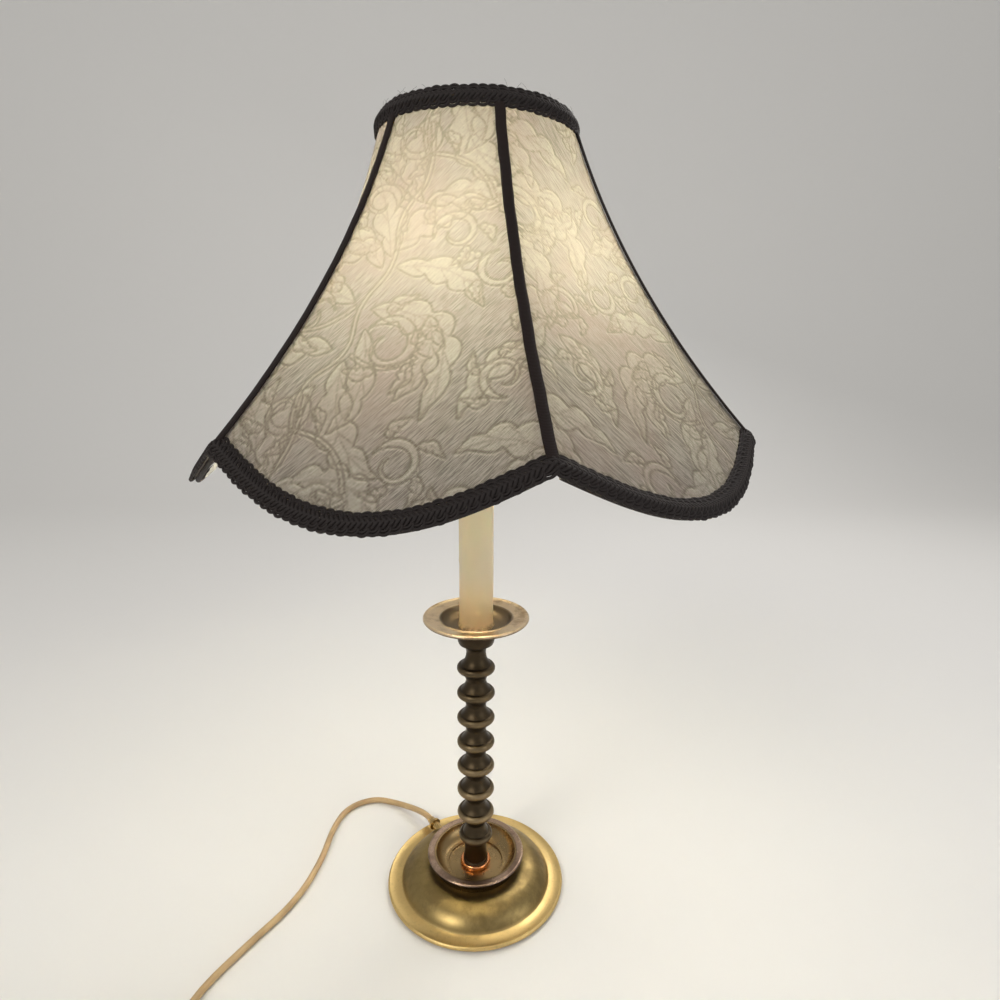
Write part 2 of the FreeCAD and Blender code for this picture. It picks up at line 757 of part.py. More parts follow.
def cut_key_hole(body, radius, reach, wall_at):
    """Drills a body from its middle out to the front, on the key's axis; wall_at lies in the front wall."""
    sketch = new_sketch(body, body.Label + "_key_hole", "XZ_Plane")
    ring = sketch.addGeometry(Part.Circle(Vector(0, key_z.value, 0), Vector(0, 0, 1), radius.value), False)
    sketch.addConstraint(Sketcher.Constraint("PointOnObject", ring, 3, -2))
    height = sketch.addConstraint(Sketcher.Constraint("DistanceY", ring, 3, key_z.value))
    sketch.setExpression(f"Constraints[{height}]", key_z.text)
    size = sketch.addConstraint(Sketcher.Constraint("Radius", ring, radius.value))
    sketch.setExpression(f"Constraints[{size}]", radius.text)
    pocket = body.newObject("PartDesign::Pocket", body.Label + "_key_pocket")
    pocket.Profile = sketch
    pocket.Length = reach.value
    pocket.setExpression("Length", reach.text)
    doc.recompute()
    if body.Shape.isInside(Vector(0, -float(wall_at), float(key_z)), 1e-6, True):
        pocket.Reversed = True
        doc.recompute()
    return body


def socket_shell():
    """Brass shell with a beaded mouth."""
    radius, wall = mm.socket_radius, mm.socket_wall
    top = shell_z + mm.socket_shell_height
    shell = turned("socket_shell", [
        (radius - wall, shell_z),
        (radius, shell_z),
        (radius, top - 4 * wall),
        ("via", radius + wall, top - 2 * wall),
        (radius, top),
        (radius - wall, top),
    ])
    hole = mm.key_shaft_radius + mm.key_shaft_clearance
    return cut_key_hole(shell, hole, 2 * radius, radius - 0.5 * wall)


def socket_liner():
    """Insulating sleeve inside the shell."""
    outer = mm.socket_radius - mm.socket_wall - mm.liner_gap
    middle = outer - 0.5 * mm.liner_thickness
    liner = turned("socket_liner", tube_outline(
        outer - mm.liner_thickness, outer, shell_z, shell_z + mm.liner_height))
    hole = mm.key_shaft_radius + mm.key_shaft_clearance
    return cut_key_hole(liner, hole, 2 * mm.socket_radius, middle)


def socket_body():
    """Moulded block that holds the switch, the contact and the screw shell."""
    outer, post, wires = mm.socket_body_radius, mm.socket_cap_neck, mm.stem_bore
    block = turned("socket_body", [
        (wires, socket_floor_z),
        (post, socket_floor_z),
        (post, socket_block_z),
        (outer, socket_block_z),
        (outer, socket_body_top_z),
        (0, socket_body_top_z),
        (0, socket_body_top_z - mm.socket_body_roof),
        (wires, socket_body_top_z - mm.socket_body_roof),
    ])
    hole = mm.key_shaft_radius + mm.running_clearance
    return cut_key_hole(block, hole, 2 * mm.socket_radius, 0.8 * outer)


def screw_shell():
    outer = mm.screw_shell_radius
    top = socket_body_top_z + mm.screw_shell_height
    return turned("screw_shell", tube_outline(outer - mm.screw_shell_wall, outer, socket_body_top_z, top))


def centre_contact():
    top = socket_body_top_z + mm.contact_thickness
    return turned("centre_contact", tube_outline(0, mm.contact_radius, socket_body_top_z, top))


def front_turned(label, outline, start):
    """A body turned about the key's axis, which points to the front; heights count from start."""
    body = turned(label, outline)
    body.Placement = FreeCAD.Placement(Vector(0, 0, 0), FreeCAD.Rotation(Vector(1, 0, 0), 90))
    body.setExpression("Placement.Base.y", (-1 * start).text)
    body.setExpression("Placement.Base.z", key_z.text)
    return body


def key_shaft():
    """Brass shaft of the rotary switch, from inside the block to inside the knob."""
    start = mm.key_shaft_start
    length = mm.socket_radius + mm.key_stand_off + mm.key_grip_depth * mm.key_grip_length - start
    return front_turned("switch_shaft", tube_outline(0, mm.key_shaft_radius, 0, length), start)


def key_knob():
    """Turn knob with finger grooves around it."""
    start = mm.socket_radius + mm.key_stand_off
    length, radius = mm.key_grip_length, mm.key_grip_radius
    deep = mm.key_grip_depth * length
    knob = front_turned("switch_knob", [
        (mm.key_shaft_radius, 0),
        (0.7 * radius, 0),
        (radius, 0.22 * length),
        (0.94 * radius, 0.82 * length),
        ("via", 0.84 * radius, 0.95 * length),
        (0.6 * radius, length),
        (0, length),
        (0, deep),
        (mm.key_shaft_radius, deep),
    ], start)
    groove = new_sketch(knob, "finger_groove", "XY_Plane")
    middle, size = 1.08 * radius, mm.key_groove_radius
    circle = Part.Circle(Vector(middle.value, 0, 0), Vector(0, 0, 1), size.value)
    ring = groove.addGeometry(circle, False)
    pin_point(groove, ring, 3, middle, 0)
    bound = groove.addConstraint(Sketcher.Constraint("Radius", ring, size.value))
    groove.setExpression(f"Constraints[{bound}]", size.text)
    doc.recompute()
    whole = knob.Shape.Volume
    pocket = knob.newObject("PartDesign::Pocket", "finger_pocket")
    pocket.Profile = groove
    pocket.Length = length.value + 2
    pocket.Midplane = True
    pocket.Type = 1
    doc.recompute()
    if knob.Shape.Volume > whole - 1e-3:
        pocket.Reversed = True
    grooves = knob.newObject("PartDesign::PolarPattern", "finger_grooves")
    grooves.Originals = [pocket]
    grooves.Axis = (plane_of(knob, "Z_Axis"), [""])
    grooves.Angle = 360
    grooves.Occurrences = int(mm.key_grip_flats.value)
    grooves.setExpression("Occurrences", mm.key_grip_flats.text)
    knob.Tip = grooves
    return knob


# ---------------------------------------------------------------- bulb

def bulb_cap():
    """Screw cap, a running fit in the screw shell."""
    outer = mm.screw_shell_radius - mm.screw_shell_wall - mm.running_clearance
    wall, top = mm.screw_shell_wall, bulb_cap_z + mm.bulb_cap_height
    return turned("bulb_cap", [
        (mm.bulb_tip_radius, bulb_cap_z),
        (mm.contact_radius + 1.0, bulb_cap_z),
        (outer, bulb_cap_z + mm.bulb_cap_taper),
        (outer, top),
        (outer - wall, top),
        (outer - wall, bulb_cap_z + mm.bulb_cap_taper + 0.6 * wall),
        (mm.contact_radius + 0.8, bulb_cap_z + wall),
        (mm.bulb_tip_radius, bulb_cap_z + wall),
    ])


def bulb_tip():
    """Contact of the bulb, whose foot runs just clear of the socket's contact."""
    radius = mm.bulb_tip_radius
    return turned("bulb_tip", [
        (0, bulb_tip_z),
        (0.6 * radius, bulb_tip_z),
        (radius, bulb_tip_z + 0.8),
        (radius, bulb_cap_z + mm.screw_shell_wall),
        (0, bulb_cap_z + mm.screw_shell_wall),
    ])


def bulb_glass():
    """Frosted pear-shaped envelope whose neck stands in the cap."""
    wall, radius = mm.bulb_wall, mm.bulb_radius
    cap_bore = mm.screw_shell_radius - 2 * mm.screw_shell_wall - mm.running_clearance
    neck = cap_bore - 0.15
    low, neck_top = bulb_cap_z + 0.6 * mm.bulb_cap_height, bulb_cap_z + 1.15 * mm.bulb_cap_height
    centre = bulb_top_z - radius
    flank_r, flank_z = 0.8 * radius, centre - 0.6 * radius
    inner_radius = radius - wall
    inner_r, inner_z = 0.8 * inner_radius, centre - 0.6 * inner_radius
    return turned("bulb_glass", [
        (neck - wall, low),
        (neck, low),
        (neck, neck_top),
        ("via", mid(neck, flank_r, 0.42), mid(neck_top, flank_z, 0.54)),
        (flank_r, flank_z),
        ("via", radius, centre),
        (0, bulb_top_z),
        (0, bulb_top_z - wall),
        ("via", inner_radius, centre),
        (inner_r, inner_z),
        ("via", mid(neck, flank_r, 0.42) - 0.9 * wall, mid(neck_top, flank_z, 0.54) + 0.2 * wall),
        (neck - wall, neck_top),
    ])


# ---------------------------------------------------------------- shade

PANELS = int(mm.panel_count.value)
HALF_PANEL = math.pi / PANELS
SEAM_SHARE = 0.998           # of a panel's half width, so that neighbours keep a hairline seam
RIB_LEAN = 0.446             # where the rib's bulge peaks, as a share of its chord
RIB_BENDS = 4                # arcs that a rib's wire is bent to
BOW_FADE = 0.55              # share of the height over which the round ring turns into flat panels


def rib_reach():
    """Straight length from the ring to a rib's foot."""
    return math.hypot(float(mm.shade_rib_radius - mm.shade_top_radius), float(mm.shade_height))


def rib_corner(first, last):
    """Radius and height where the rib's tangents at two reaches cross."""
    out, down = float(mm.shade_rib_radius - mm.shade_top_radius), -float(mm.shade_height)
    between = first * (1 - last) + last * (1 - first)
    along = between * RIB_LEAN + first * last
    bulge = between * 2 * float(mm.rib_sag) / rib_reach()
    return (
        float(mm.shade_top_radius) + out * along + down * bulge,
        float(ring_z) + down * along - out * bulge,
    )


def rib_profile(reach):
    """Radius and height of a rib; reach is 0 at the ring and 1 at its foot, and may go past it."""
    return rib_corner(reach, reach)


def seam_turn(panel):
    """Degrees from the front to the rib where a panel starts."""
    return float(mm.shade_turn) + math.degrees(HALF_PANEL) * (2 * panel - 2)


def sheet_point(panel, across, reach):
    """Point on the surface of the wires' centres; across runs from -1 to 1 between two ribs."""
    radius, height = rib_profile(reach)
    fade = max(0.0, 1 - reach / BOW_FADE) ** 1.3
    bow = float(mm.panel_bow) + (1 - float(mm.panel_bow)) * fade
    radius *= (1 - bow) * math.cos(HALF_PANEL) / math.cos(HALF_PANEL * across) + bow
    turn = math.radians(float(mm.shade_turn)) + HALF_PANEL * (2 * panel - 1 + across)
    return Vector(radius * math.sin(turn), -radius * math.cos(turn), height)


def shade_point(panel, across, reach, out):
    """Point a distance outside that surface; at the ribs neighbouring panels meet in a mitre."""
    step = 1e-4
    sideways = sheet_point(panel, across + step, reach) - sheet_point(panel, across - step, reach)
    downward = sheet_point(panel, across, reach + step) - sheet_point(panel, across, reach - step)
    sideways.normalize()
    normal = downward.cross(sideways).normalize()
    if normal.dot(sheet_point(panel, 0, reach)) < 0:
        normal = normal.negative()
    side = math.copysign(1, across)
    turn = math.radians(float(mm.shade_turn)) + HALF_PANEL * (2 * panel - 1 + side * SEAM_SHARE)
    seam_plane = Vector(math.cos(turn), math.sin(turn), 0)
    slide = -normal.dot(seam_plane) / sideways.dot(seam_plane) * abs(across / SEAM_SHARE) ** 3
    return sheet_point(panel, across, reach) + (normal + sideways * slide) * out


def edge_reach(across):
    """Reach of the scalloped edge, lowest in the middle of a panel."""
    return 1 + float(mm.scallop_drop) / rib_reach() * math.cos(math.pi / 2 * across)


def shade_band(panel, inside, outside, top, bottom, half=SEAM_SHARE, steps=9, rows=7):
    """Solid skin over one panel between two distances from the wires; top and bottom give its reach."""
    sections = []
    for i in range(steps):
        across = half * (2 * i / (steps - 1) - 1)
        reaches = [top(across) + (bottom(across) - top(across)) * j / (rows - 1) for j in range(rows)]
        curves = []
        for out in (inside, outside):
            curve = Part.BSplineCurve()
            curve.interpolate([shade_point(panel, across, reach, out) for reach in reaches])
            curves.append(curve)
        inner, outer = curves
        sections.append(Part.Wire([
            inner.toShape(),
            Part.LineSegment(inner.EndPoint, outer.EndPoint).toShape(),
            outer.toShape(),
            Part.LineSegment(outer.StartPoint, inner.StartPoint).toShape(),
        ]))
    return solid_of(Part.makeLoft(sections, True, False))


def swept_curve(points, radius):
    """Round wire along a smooth curve through points."""
    curve = Part.BSplineCurve()
    curve.interpolate(points)
    return rod_along(Part.Wire([curve.toShape()]), radius)


def top_ring():
    ring = doc.addObject("Part::Torus", "top_ring")
    ring.Label = "top_ring"
    ring.setExpression("Radius1", mm.shade_top_radius.text)
    ring.setExpression("Radius2", mm.wire_radius.text)
    ring.setExpression("Placement.Base.z", ring_z.text)
    return ring


def shade_spider():
    """Hub and bent arms, one to every second rib."""
    wire, gap = float(mm.wire_radius), float(mm.cloth_gap)
    hub_level = float(hub_z + 0.5 * mm.spider_hub_thickness)
    rim = float(mm.shade_top_radius) - 2 * wire - gap
    hub_radius, hub_thick = float(mm.spider_hub_radius), float(mm.spider_hub_thickness)
    hub = Part.makeCylinder(hub_radius, hub_thick, Vector(0, 0, float(hub_z)))
    bore = float(mm.stud_radius + mm.running_clearance)
    hole = Part.makeCylinder(bore, 3 * hub_thick, Vector(0, 0, float(hub_z) - hub_thick))
    arm_points = [
        (hub_radius - 1, 0, hub_level),
        (0.6 * rim, 0, hub_level),
        (0.78 * rim, 0, float(ring_z)),
        (rim, 0, float(ring_z)),
    ]
    arms = []
    for panel in range(0, PANELS, 2):
        arm = rod_along(rounded_path(arm_points)[0], wire)
        arm.rotate(Vector(0, 0, 0), Vector(0, 0, 1), seam_turn(panel + 1) - 90)
        arms.append(arm)
    return shaped("shade_spider", solid_of(hub.cut(hole).fuse(arms)))


def shade_ribs():
    """One wire down each seam."""
    wire, gap = float(mm.wire_radius), float(mm.cloth_gap)
    start = (2 * wire + gap) / rib_reach()
    stations = [start + (1 - start) * i / RIB_BENDS for i in range(RIB_BENDS + 1)]
    corners = [rib_profile(start)]
    corners += [rib_corner(first, last) for first, last in zip(stations, stations[1:])]
    corners.append(rib_profile(1))
    rib = rod_along(rounded_path([(radius, 0, height) for radius, height in corners])[0], wire)
    ribs = []
    for panel in range(PANELS):
        turned_rib = rib.copy()
        turned_rib.rotate(Vector(0, 0, 0), Vector(0, 0, 1), seam_turn(panel) - 90)
        ribs.append(turned_rib)
    return shaped("shade_ribs", Part.makeCompound(ribs))


def edge_wire():
    """Scalloped bottom wire, one bow between each two ribs."""
    wire = float(mm.wire_radius)
    half_width = float(mm.shade_rib_radius) * math.sin(HALF_PANEL)
    half = 1 - (2 * wire + float(mm.cloth_gap)) / half_width
    bows = []
    for panel in range(PANELS):
        stations = [half * (i / 5 - 1) for i in range(11)]
        bows.append(swept_curve([sheet_point(panel, a, edge_reach(a)) for a in stations], wire))
    return shaped("edge_wire", Part.makeCompound(bows))


def shade_cloth():
    """Outer cloth panels, the lining, the seam strips and the two braid trims."""
    wire, gap = float(mm.wire_radius), float(mm.cloth_gap)
    overhang = float(mm.trim_overhang) / rib_reach()
    braid = float(mm.trim_width) / rib_reach()
    lap = wire / rib_reach()
    inner = wire + gap
    outer = inner + float(mm.cloth_thickness)
    braid_in = outer + gap
    braid_out = braid_in + float(mm.trim_thickness)

    def cloth_top(across):
        return -lap

    def cloth_bottom(across):
        return edge_reach(across) + lap

    def trim_top(across):
        return -overhang

    def trim_end(across):
        return braid - overhang

    def hem_top(across):
        return edge_reach(across) + overhang - braid

    def hem_end(across):
        return edge_reach(across) + overhang

    for panel in range(PANELS):
        label = f"cloth_panel_{panel + 1}"
        shaped(label, shade_band(panel, inner, outer, cloth_top, cloth_bottom, rows=11))
    lining_out = -inner
    lining_in = lining_out - float(mm.lining_thickness)
    lining = [
        shade_band(panel, lining_in, lining_out, cloth_top, cloth_bottom, rows=9)
        for panel in range(PANELS)
    ]
    shaped("lining", Part.makeCompound(lining))
    top = [shade_band(panel, braid_in, braid_out, trim_top, trim_end, rows=4) for panel in range(PANELS)]
    shaped("top_trim", Part.makeCompound(top))
    hem = [shade_band(panel, braid_in, braid_out, hem_top, hem_end, rows=4) for panel in range(PANELS)]
    shaped("edge_trim", Part.makeCompound(hem))


def seam_strips():
    """Flat dark strip over each seam between the two trims."""
    wire, gap = float(mm.wire_radius), float(mm.cloth_gap)
    spare = 0.6 / rib_reach()
    braid = float(mm.trim_width - mm.trim_overhang) / rib_reach()
    start, end = braid + spare, 1 - braid - spare
    inside = wire + 2.5 * gap + float(mm.cloth_thickness)
    half, thick = 0.5 * float(mm.piping_width), float(mm.piping_thickness)
    strips = []
    for panel in range(PANELS):
        turn = math.radians(seam_turn(panel))
        sideways = Vector(math.cos(turn), math.sin(turn), 0)
        sections = []
        for i in range(9):
            reach = start + (end - start) * i / 8
            before, here, after = (sheet_point(panel, -1, reach + d) for d in (-1e-4, 0, 1e-4))
            normal = (after - before).cross(sideways).normalize()
            if normal.z < 0:
                normal = normal.negative()
            low, high = here + normal * inside, here + normal * (inside + thick)
            side = sideways * half
            corners = [low - side, low + side, high + side, high - side]
            sections.append(Part.makePolygon(corners + corners[:1]))
        strips.append(solid_of(Part.makeLoft(sections, True, False)))
    return shaped("seam_strips", Part.makeCompound(strips))


# ---------------------------------------------------------------- cord

EXIT = Vector(-0.6, 0.8, 0)                 # the way the cord leaves the base, seen from above
COIL_CENTRE = Vector(-222, -150, 0)
COIL_BOTTOM = float(mm.tie_thickness) + 0.2
TIE_TURN = 205                              # degrees round the coil from +X
ROUTE = [                                   # centre line from inside the bushing to the coil
    (-34.2, 45.6, 10.8),
    (-44.4, 59.2, 12.3),
    (-56.0, 73.1, 7.2),
    (-74.0, 87.0, 2.6),
    (-96.0, 94.0, 2.6),
    (-119.0, 82.0, 2.6),
    (-127.0, 55.0, 2.6),
    (-128.0, 18.0, 2.6),
    (-138.0, -24.0, 2.6),
    (-163.0, -62.0, 2.6),
    (-183.0, -96.0, 2.6),
    (-187.0, -124.0, 3.4),
    (-187.0, -150.0, 3.5),
]
TAIL = [                                    # from the coil to the plug
    (-187.0, -150.0, 8.5),
    (-187.4, -173.0, 8.2),
    (-198.0, -197.0, 6.6),
    (-221.0, -207.0, 6.6),
]
PLUG_SECTIONS = [                           # shares of the plug's length, width and thickness
    (0.0, 0.42, 0.62),
    (0.3, 0.6, 0.74),
    (0.62, 0.95, 0.95),
    (1.0, 1.0, 1.0),
]


def bushing_line(distance):
    """Point on the bushing's axis, a distance from the lamp's axis."""
    rise = math.tan(math.radians(float(mm.bushing_tilt)))
    start = float(mm.bushing_start)
    return EXIT * distance + Vector(0, 0, float(mm.bushing_height) + rise * (distance - start))


def along_bushing(body):
    """Lays a body turned about Z along the bushing's axis, with its foot at the bushing's start."""
    heading = bushing_line(100) - bushing_line(0)
    turn = FreeCAD.Rotation(Vector(0, 0, 1), heading)
    body.Placement = FreeCAD.Placement(bushing_line(float(mm.bushing_start)), turn)
    return body


def cord_bushing():
    """Tapered bushing that the cord comes out of, with a collar outside the base."""
    bore, length = mm.cord_radius + 0.05, mm.bushing_length
    return along_bushing(turned("cord_bushing", [
        (bore, 0),
        (mm.bushing_radius, 0),
        (mm.bushing_radius, 0.66 * length),
        (mm.bushing_collar_radius, 0.66 * length),
        (mm.bushing_collar_radius, 0.76 * length),
        ("via", mm.bushing_radius + 0.5, 0.84 * length),
        (mm.bushing_radius - 0.2, length),
        (bore, length),
    ]))


def cut_bushing_hole():
    """Hole through the dome for the bushing."""
    shell = doc.getObject("base_shell")
    whole = shell.Shape.copy()
    doc.removeObject(shell.Name)
    start = bushing_line(float(mm.bushing_start) - 2)
    heading = bushing_line(100) - bushing_line(0)
    hole = Part.makeCylinder(float(mm.bushing_radius) + 0.1, float(mm.bushing_length), start, heading)
    return shaped("base_shell", solid_of(whole.cut(hole)))


def supply_wires():
    """Two insulated wires from the cord's end, under the base and up the stem to the socket."""
    wire = float(mm.wire_lead_radius)
    inside = float(mm.bushing_start) + 0.5 * float(mm.bushing_length)
    over_weight = float(felt_top + mm.weight_thickness) + wire + 1.2
    under_nut = float(stem_bottom_z) - wire - 0.5
    profile = [
        (inside, bushing_line(inside).z),
        (float(mm.bushing_start) - 1, bushing_line(float(mm.bushing_start) - 1).z),
        (float(mm.weight_outer_radius) - 6, over_weight + 0.5),
        (float(mm.weight_inner_radius) + 2, over_weight),
        (float(mm.weight_inner_radius) - 9, under_nut),
        (0, under_nut),
        (0, float(shell_z) + 2),
    ]
    side = Vector(-EXIT.y, EXIT.x, 0)
    solids = []
    for offset in (-1.15, 1.15):
        points = [EXIT * distance + side * offset + Vector(0, 0, z) for distance, z in profile]
        solids.append(rod_along(rounded_path([tuple(p) for p in points], 5.0)[0], wire))
    return shaped("supply_wires", Part.makeCompound(solids))


def cord_tube(label, points):
    """Free cord along its route; prints its tightest bend and checks its volume."""
    radius = float(mm.cord_radius)
    path, radii = rounded_path(points)
    tube = rod_along(path, radius)
    expected = math.pi * radius ** 2 * path.Length
    bends = ", ".join(f"{r:.0f}" for r in radii)
    fullness = tube.Volume / expected
    print(f"{label}: {path.Length:.0f} mm, radii {bends}, volume {fullness:.4f} of section x length")
    return shaped(label, tube)


def cord_coil():
    """Outer shape of the wound spare length; one place in its section goes to the steps between turns."""
    pitch = 2 * mm.cord_radius
    half = 0.5 * mm.coil_columns * pitch
    low, high = Size.of(COIL_BOTTOM), COIL_BOTTOM + mm.coil_layers * pitch
    coil = turned("cord_coil", tube_outline(mm.coil_radius - half, mm.coil_radius + half, low, high))
    coil.Placement.Base = COIL_CENTRE
    turns = mm.coil_columns.value * mm.coil_layers.value - 1
    print(f"cord_coil: {turns:.0f} turns, {turns * 2 * math.pi * mm.coil_radius.value:.0f} mm")
    return coil


def coil_tie():
    """Flat band around the coil's section."""
    gap, thick, width = 0.1, float(mm.tie_thickness), float(mm.tie_width)
    pitch = 2 * float(mm.cord_radius)
    columns, layers = float(mm.coil_columns) * pitch, float(mm.coil_layers) * pitch
    inner = float(mm.coil_radius) - 0.5 * columns
    bulge = inner - math.sqrt(inner ** 2 - width ** 2 / 4)
    low = COIL_BOTTOM - gap
    deep, high, near = columns + 2 * gap + bulge, layers + 2 * gap, inner - gap - bulge
    hole = Part.makeBox(deep, width, high, Vector(near, -width / 2, low))
    block = Part.makeBox(deep + 2 * thick, width, high + 2 * thick,
                         Vector(near - thick, -width / 2, low - thick))
    band = shaped("coil_tie", solid_of(block.cut(hole)))
    band.Placement = FreeCAD.Placement(COIL_CENTRE, FreeCAD.Rotation(Vector(0, 0, 1), TIE_TURN))
    return band


def plug():
    """Moulded two-blade plug lying flat beside the coil, and its blades."""
    end, before = Vector(*TAIL[-1]), Vector(*TAIL[-2])
    heading = Vector(end.x - before.x, end.y - before.y, 0).normalize()
    lay = FreeCAD.Placement(Vector(end.x, end.y, float(mm.plug_thickness) / 2 + 0.1),
                            FreeCAD.Rotation(Vector(1, 0, 0), heading))
    wide, thick, length = float(mm.plug_width), float(mm.plug_thickness), float(mm.plug_length)
    sections = []
    for share, width_share, thick_share in PLUG_SECTIONS:
        half_w, half_t = wide * width_share / 2, thick * thick_share / 2
        corners = [Vector(length * share, y, z) for y, z in (
            (-half_w, -half_t), (half_w, -half_t), (half_w, half_t), (-half_w, half_t))]
        sections.append(Part.makePolygon(corners + corners[:1]))
    body = shaped("plug_body", solid_of(Part.makeLoft(sections, True, True)))
    body.Placement = lay
    blades = [
        Part.makeBox(float(mm.blade_length), float(mm.blade_thickness), float(mm.blade_width),
                     Vector(length, side * float(mm.blade_spacing) / 2 - float(mm.blade_thickness) / 2,
                            -float(mm.blade_width) / 2))
        for side in (-1, 1)
    ]
    pair = shaped("plug_blades", Part.makeCompound(blades))
    pair.Placement = lay


def base_weight():
    """Cast ring that lies on the felt inside the base."""
    return turned("base_weight", tube_outline(
        mm.weight_inner_radius, mm.weight_outer_radius, felt_top, felt_top + mm.weight_thickness))


# ---------------------------------------------------------------- build

def build():
    felt_pad()
    base_weight()
    base_shell()
    base_cup()
    stem()
    collar()
    column()
    drip_pan()
    candle()
    candle_cap()
    hex_nut("stem_nut", nut_z, mm.nut_across_flats, mm.nut_height, bore_radius)
    saddle_plate()
    harp()
    ferrules()
    doc.recompute()
    harp_stud()
    finial()
    socket_cap()
    socket_shell()
    socket_liner()
    socket_body()
    screw_shell()
    centre_contact()
    key_shaft()
    key_knob()
    bulb_cap()
    bulb_tip()
    bulb_glass()
    top_ring()
    shade_spider()
    shade_ribs()
    edge_wire()
    shade_cloth()
    seam_strips()
    cord_bushing()
    cut_bushing_hole()
    supply_wires()
    cord_tube("cord", ROUTE)
    cord_coil()
    cord_tube("cord_tail", TAIL)
    coil_tie()
    plug()
    doc.recompute()


def nodes():
    """Every finished sub-part: bodies, primitives and shaped features, but not what a body holds."""
    kinds = ("PartDesign::Body", "Part::Feature", "Part::Torus")
    return [o for o in doc.Objects if o.TypeId in kinds]


def check_and_write():
    for item in doc.Objects:
        if "Invalid" in item.State or "Error" in item.State:
            raise RuntimeError(f"{item.Label} did not recompute: {item.State}")
    parts = nodes()
    for part in parts:
        if part.Shape.isNull() or not part.Shape.isValid() or not part.Shape.Solids:
            raise RuntimeError(f"{part.Label} has no valid solid")
    os.makedirs("parts", exist_ok=True)
    for part in parts:
        part.Shape.exportStep(f"parts/{part.Label}.step")
    print(f"{len(parts)} nodes written")


build()
check_and_write()
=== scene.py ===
"""Looks of the candlestick lamp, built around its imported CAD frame. All lengths are in metres."""

import math

import bpy
import numpy as np
from mathutils import Matrix, Vector


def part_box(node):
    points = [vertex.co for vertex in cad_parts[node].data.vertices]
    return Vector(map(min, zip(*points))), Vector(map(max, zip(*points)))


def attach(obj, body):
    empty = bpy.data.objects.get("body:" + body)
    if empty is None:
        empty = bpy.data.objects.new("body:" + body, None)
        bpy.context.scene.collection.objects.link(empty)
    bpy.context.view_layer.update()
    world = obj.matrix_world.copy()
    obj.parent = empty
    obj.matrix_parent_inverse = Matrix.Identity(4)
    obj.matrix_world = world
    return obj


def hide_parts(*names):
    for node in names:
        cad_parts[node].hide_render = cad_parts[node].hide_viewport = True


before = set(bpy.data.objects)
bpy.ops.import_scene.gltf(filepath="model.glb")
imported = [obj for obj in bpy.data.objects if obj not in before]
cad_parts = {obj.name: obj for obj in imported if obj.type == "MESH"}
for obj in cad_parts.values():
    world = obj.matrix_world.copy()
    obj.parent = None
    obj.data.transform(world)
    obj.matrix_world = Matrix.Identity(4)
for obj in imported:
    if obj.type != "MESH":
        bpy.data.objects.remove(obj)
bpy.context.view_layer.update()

# -------------------- places read from the frame

MM = 0.001


def middle_of(node):
    low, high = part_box(node)
    return (np.array(low) + np.array(high)) / 2


AXIS = middle_of("lock_collar") * (1, 1, 0)     # foot of the lamp's axis
RING_Z = middle_of("top_ring")[2]
CANDLE_LOW, CANDLE_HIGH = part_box("candle_sleeve")[0][2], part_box("candle_sleeve")[1][2]
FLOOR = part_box("felt_pad")[0][2]


def at(x, y, z):
    """A place given in millimetres from the foot of the lamp's axis."""
    return tuple(float(c) for c in AXIS + np.array((x, y, z)) * MM)


def add_object(name, data):
    thing = bpy.data.objects.new(name, data)
    bpy.context.scene.collection.objects.link(thing)
    return thing


# -------------------- camera, fitted to the photo's view

CAMERA_BACK, CAMERA_HEIGHT = 446.1, 413.3                 # millimetres from the foot of the axis
CAMERA_PITCH, CAMERA_YAW, CAMERA_ROLL = 12.49, 2.15, 0.59   # degrees
CAMERA_LENS, CAMERA_SENSOR = 23.17, 36

camera = add_object("camera", bpy.data.cameras.new("camera"))
camera.data.lens = CAMERA_LENS
camera.data.sensor_width = CAMERA_SENSOR
camera.data.clip_start = 0.01
camera.location = at(0, -CAMERA_BACK, CAMERA_HEIGHT)
camera.rotation_euler = (
    Matrix.Rotation(math.radians(-CAMERA_YAW), 3, "Z")
    @ Matrix.Rotation(math.radians(90 - CAMERA_PITCH), 3, "X")
    @ Matrix.Rotation(math.radians(CAMERA_ROLL), 3, "Z")
).to_euler()
bpy.context.scene.camera = camera


# -------------------- node trees

